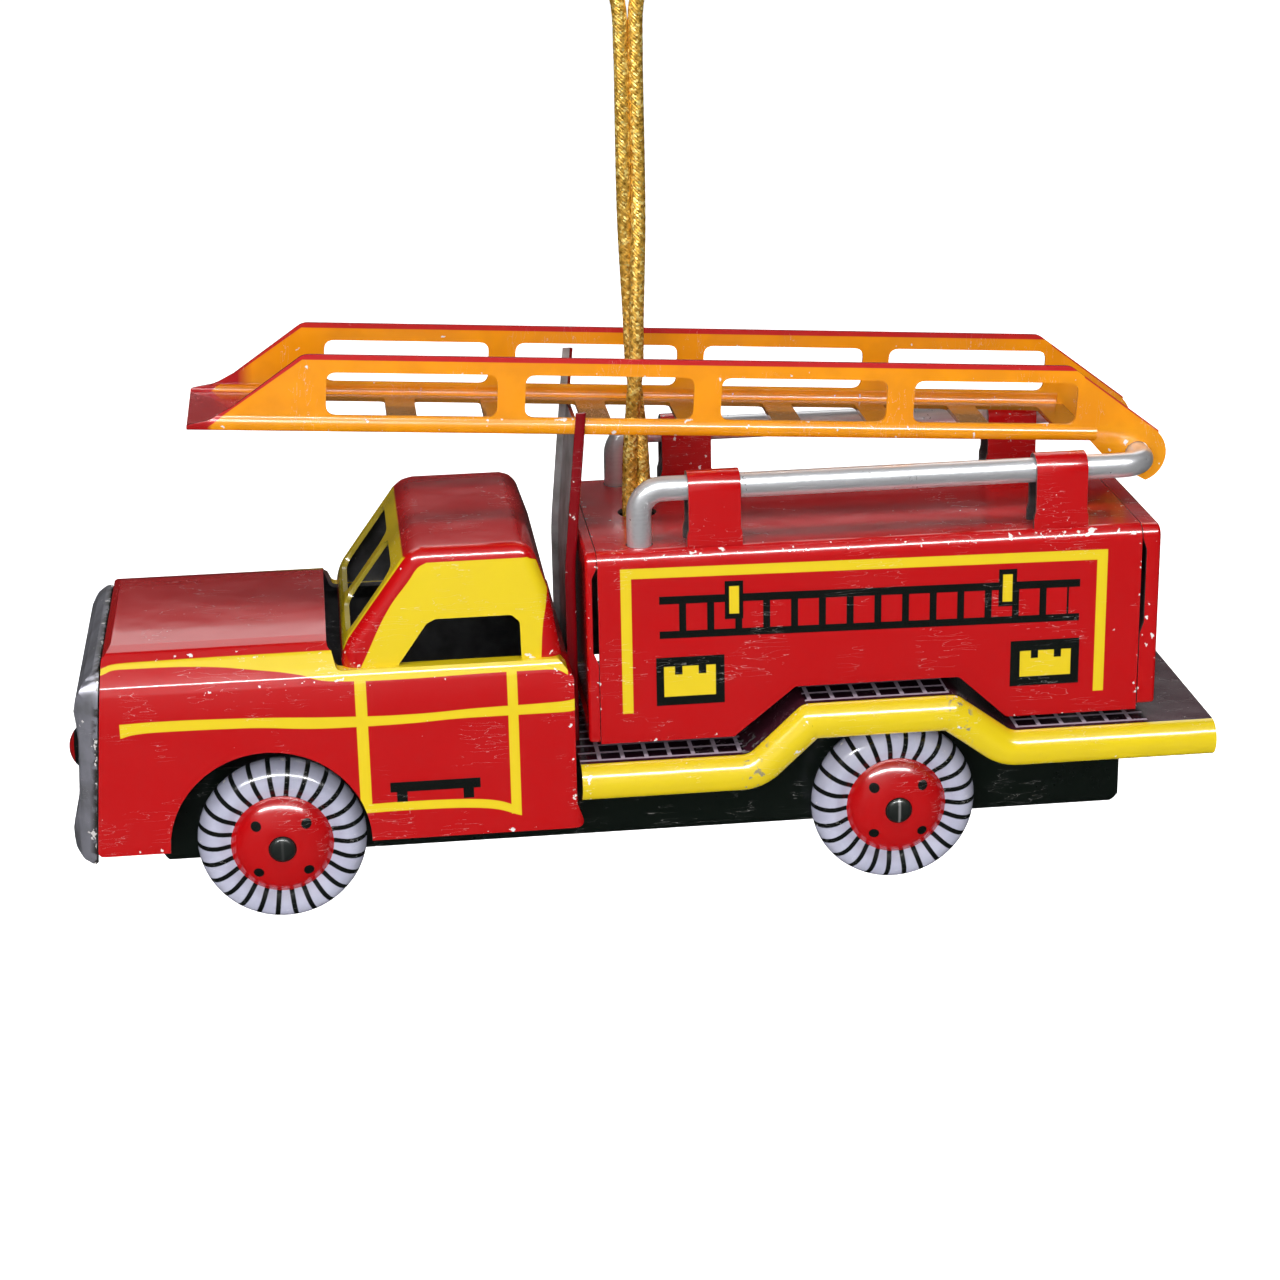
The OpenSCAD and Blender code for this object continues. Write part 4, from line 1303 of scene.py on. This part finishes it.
def steelWire():
    material, tree, place, x, y, h = startFinish("steelWire")
    drawn = noise(tree, place, 2.2, 3, stretch=(0.12, 2.4, 2.4))
    tone = mixColour(tree, drawn, (0.68, 0.69, 0.72, 1), (0.93, 0.94, 0.97, 1))
    look = {"rough": 0.26, "metal": 0.68, "coat": 0.1, "cloud": 0.2, "shade": (0.45, 0.43, 0.40, 1),
            "grain": 0.6, "hair": (0.1, 2.0, 2.0), "wave": 0.1}
    return endFinish(material, tree, place, tone, look)


def makeRod():
    y, top = box["rodY"], rail["height"]
    bend, corner = rail["bend"], rail["corner"]
    quarter = [math.radians(90 * k / 8) for k in range(9)]
    one = [(0, y, rail["endH"])]
    one += [(bend - bend * math.cos(a), y, top - bend + bend * math.sin(a)) for a in quarter]
    one += [(pivot.x - corner + corner * math.sin(a), y - corner + corner * math.cos(a), top)
            for a in quarter]
    points = one + [(px, -py, ph) for px, py, ph in reversed(one)]
    path = traceLine("railRod", points, closed=False)
    only(path)
    bpy.ops.object.convert(target="CURVE")
    wire = bpy.context.object
    wire.data.bevel_depth = rail["radius"]
    wire.data.bevel_resolution = 8
    wire.data.use_fill_caps = True
    bpy.ops.object.convert(target="MESH")
    wire = bpy.context.object
    dress(wire, steelWire())
    fitPiece(wire, "truck", "steel_wire", "rail_rod", angle=50)


makeRod()

strap = {"width": 4.2, "gap": 0.04, "foot": 28.6, "flare": 0.35}


def makeStrap(name, node, x, s):
    r = rail["radius"] + strap["gap"] + sheet
    y, top = s * box["rodY"], rail["height"]
    legs = [(-r, strap["foot"]), (-r, 29.9), (-r, 31.0)] + arc((0, top), r, 180, 0, 14)
    legs += [(r, 31.0), (r, 29.9), (r, strap["foot"])]
    band = traceLine(name, [(x - strap["width"] / 2, y + u, v) for u, v in legs], closed=False)
    extrudeAll(band, (strap["width"], 0, 0))
    pickFaces(band, lambda c, n: True)
    bpy.ops.mesh.subdivide(number_cuts=1)
    bpy.ops.object.mode_set(mode="OBJECT")
    turnOut(band, lambda c, n: n.z)
    # the legs splay a little where they enter the roof
    for end in (-1, 1):
        pickPoints(band, lambda p: p.z < 30.6 and (p.x - x) * end > 1)
        bpy.ops.transform.translate(value=(end * strap["flare"] * 0.4, 0, 0))
        bpy.ops.object.mode_set(mode="OBJECT")
    dress(band, strapInk, insideTin, edgeTin)
    thicken(band)
    softEdges(band, 0.07, 2)
    fitPiece(band, "truck", "litho_red", node)


strapInk = plainInk("strapInk", colours["red"], chipLimit=0.765, chipScale=1.9)
for place, x in zip(("front", "rear"), box["strapX"]):
    for sideName, s in (("left", -1), ("right", 1)):
        makeStrap(place + sideName.title() + "Strap", "strap_" + place + "_" + sideName, x, s)
print("rails and straps made")

# wheels and axles

wheel = {
    "hub": 4.1,
    "spokes": 26,
    # half sections: distance from the axle, then along it
    "face": [(0.72, 12.1), (1.7, 12.08), (2.5, 11.97), (3.1, 11.76), (3.55, 11.48), (3.9, 11.14),
             (4.06, 10.9), (4.22, 10.88), (4.45, 11.0), (4.8, 11.18), (5.2, 11.3), (5.6, 11.27),
             (6.0, 11.08), (6.35, 10.72), (6.62, 10.25), (6.76, 9.8), (6.8, 9.52)],
    "back": [(0.72, 7.75), (3.0, 7.7), (5.2, 7.72), (5.8, 7.82), (6.3, 8.15), (6.65, 8.7),
             (6.8, 9.48)],
}


def wheelPrint(name, axle):
    material, tree, place, x, y, h = startFinish(name, axle)
    away = distance(tree, x, h)
    angle = calc(tree, "ARCTAN2", h, x)
    step = 2 * math.pi / wheel["spokes"]
    off = nearest(tree, calc(tree, "ADD", angle, step / 2 + math.pi / 2), step)
    line = below(tree, calc(tree, "MULTIPLY", off, away), 0.20, 0.06)
    hub = below(tree, away, wheel["hub"], 0.05)
    ax = calc(tree, "SUBTRACT", calc(tree, "ABSOLUTE", x), 2.0)
    ah = calc(tree, "SUBTRACT", calc(tree, "ABSOLUTE", h), 2.0)
    stud = below(tree, distance(tree, ax, ah), 0.42, 0.06)
    cap = below(tree, away, 1.12, 0.06)
    outer = above(tree, calc(tree, "ABSOLUTE", y), 9.6)
    haze = noise(tree, place, 0.5, 3)
    white = mixColour(tree, haze, colours["tyre"], (0.42, 0.42, 0.56, 1))
    colour = layered(tree, white, (line, colours["black"]), (both(tree, hub, outer), colours["red"]),
                     (both(tree, either(tree, stud, cap), outer), colours["black"]))
    worn = either(tree, above(tree, away, 6.4, 0.3), between(tree, away, 3.9, 4.3, 0.2))
    look = dict(inkLook, rough=0.2, wear=0.08, chipLimit=0.84, shade=(0.6, 0.6, 0.66, 1), cloud=0.35)
    return endFinish(material, tree, place, colour, look, worn)


def turnPiece(name, points):
    # a half section (radius, distance along the axle) spun about the axle
    ob = traceLine(name, [(r, d, 0) for r, d in points], closed=False)
    only(ob)
    bpy.ops.object.mode_set(mode="EDIT")
    bpy.ops.mesh.select_all(action="SELECT")
    bpy.ops.mesh.spin(steps=78, angle=2 * math.pi, center=(0, 0, 0), axis=(0, 1, 0))
    bpy.ops.mesh.select_all(action="SELECT")
    bpy.ops.mesh.remove_doubles(threshold=0.004)
    bpy.ops.mesh.normals_make_consistent(inside=False)
    bpy.ops.object.mode_set(mode="OBJECT")
    return ob


def makeWheels():
    halves = {}
    for part, away in (("face", 1), ("back", -1)):
        half = turnPiece("wheel" + part.title(), wheel[part])
        turnOut(half, lambda c, n: n.y * away)
        dress(half, redInk, insideTin, edgeTin)
        thicken(half, 0.32)
        softEdges(half, 0.04, 2, 50)
        halves[part] = half
    for end, axle in (("front", frontAxle), ("rear", rearAxle)):
        finish = wheelPrint(end + "WheelPrint", axle)
        for sideName, turn in (("left", math.pi), ("right", 0)):
            for part, master in halves.items():
                copy = master.copy()
                copy.data = master.data.copy()
                copy.name = end + sideName.title() + "Wheel" + part.title()
                bpy.context.scene.collection.objects.link(copy)
                dress(copy, finish, insideTin, edgeTin)
                only(copy)
                copy.rotation_euler = (0, 0, turn)
                copy.location = (axle.x, 0, axle.z)
                bpy.ops.object.transform_apply(location=True, rotation=True, scale=True)
                fitPiece(copy, end + "_wheelset", "litho_white",
                         end + "_" + sideName + "_wheel_" + part, angle=40)
    for master in halves.values():
        bpy.data.objects.remove(master)


makeWheels()
print("wheels made")


def axleSteel(name, axle, glintStrength):
    material, tree, place, x, y, h = startFinish(name, axle)
    # a lighter grey line across each head marks the slot, painted as a highlight
    slot = both(tree, below(tree, calc(tree, "ABSOLUTE", x), 0.10, 0.08),
                above(tree, calc(tree, "ABSOLUTE", y), 12.2))
    colour = mixColour(tree, calc(tree, "MULTIPLY", slot, glintStrength), (0.018, 0.022, 0.020, 1),
                       (0.22, 0.22, 0.22, 1))
    look = {"rough": 0.34, "metal": 0.3, "coat": 0.2, "cloud": 0.3, "shade": (0.4, 0.4, 0.4, 1),
            "grain": 0.5}
    return endFinish(material, tree, place, colour, look)


def makeAxle(name, node, carrier, axle, finish):
    # shaft with a peened head at each end
    head = [(0.0, 12.5), (0.45, 12.48), (0.8, 12.4), (1.0, 12.27), (1.05, 12.14), (0.7, 12.13)]
    ob = turnPiece(name, head + [(r, -d) for r, d in reversed(head)])
    dress(ob, finish)
    only(ob)
    ob.location = (axle.x, 0, axle.z)
    bpy.ops.object.transform_apply(location=True, rotation=True, scale=True)
    fitPiece(ob, carrier, "axle_steel", node, angle=50)


# the painted highlight on the slot is full on the rear axle and faint on the front
frontSteel = axleSteel("frontAxleSteel", frontAxle, 0.15)
rearSteel = axleSteel("rearAxleSteel", rearAxle, 1.0)
makeAxle("frontAxle", "front_axle", "front_wheelset", frontAxle, frontSteel)
makeAxle("rearAxle", "rear_axle", "rear_wheelset", rearAxle, rearSteel)
print("axles made")

# floor and lights


def addFloor():
    deselect()
    bpy.ops.mesh.primitive_plane_add(size=studio["floorSize"],
                                     location=(0, 0, groundZ - studio["floorDrop"]))
    floor = bpy.context.object
    floor.name = "floor"
    material = bpy.data.materials.new("paleFloor")
    material.use_nodes = True
    shader = material.node_tree.nodes["Principled BSDF"]
    shader.inputs["Base Color"].default_value = (0.92, 0.92, 0.92, 1)
    shader.inputs["Roughness"].default_value = 0.8
    shader.inputs["Emission Color"].default_value = (1, 1, 1, 1)
    seen = addNode(material.node_tree, "ShaderNodeLightPath").outputs["Is Camera Ray"]
    feed(material.node_tree, shader.inputs["Emission Strength"], seen)
    floor.data.materials.append(material)
    floor.visible_glossy = False


def addLight(name, place, aim, size, power, mirrored=True, soft=True):
    data = bpy.data.lights.new(name, "AREA")
    data.shape = "RECTANGLE"
    data.size, data.size_y = size
    data.energy = power
    light = bpy.data.objects.new(name, data)
    bpy.context.scene.collection.objects.link(light)
    light.location = place
    light.rotation_euler = (Vector(aim) - Vector(place)).to_track_quat("-Z", "Y").to_euler()
    light.visible_glossy = mirrored
    light.visible_diffuse = soft


def addStudio():
    addFloor()
    middle = (0, 0, groundZ + 0.02)
    addLight("overhead", (-0.02, -0.12, 0.36), middle, (0.70, 0.10), 1.6, mirrored=False)
    addLight("edgeStrip", (-0.03, -0.36, 0.31), middle, (0.70, 0.035), 7.5, soft=False)
    addLight("backBox", (0.05, 0.45, 0.30), middle, (0.7, 0.3), 1.0)
    addLight("frontFill", (-0.20, -0.65, 0.12), middle, (0.6, 0.5), 4.2, mirrored=False)
    addLight("lowFill", (0.2, -0.5, -0.25), middle, (0.5, 0.3), 0.6, mirrored=False)
    # white behind the truck, dimmer where the tin mirrors the room
    world = bpy.data.worlds.new("studio")
    world.use_nodes = True
    tree = world.node_tree
    back = tree.nodes["Background"]
    split = addNode(tree, "ShaderNodeSeparateXYZ")
    feed(tree, split.inputs[0], addNode(tree, "ShaderNodeTexCoord").outputs["Generated"])
    far = calc(tree, "MULTIPLY_ADD", split.outputs[1], 0.65, 0.12, clamp=True)
    up = calc(tree, "MULTIPLY_ADD", split.outputs[2], 0.35, far, clamp=True)
    seen = addNode(tree, "ShaderNodeLightPath").outputs["Is Camera Ray"]
    feed(tree, back.inputs["Strength"], calc(tree, "MAXIMUM", calc(tree, "MULTIPLY", up, 0.62), seen))
    bpy.context.scene.world = world
    bpy.context.scene.view_settings.view_transform = "Standard"


addStudio()
print("studio made")
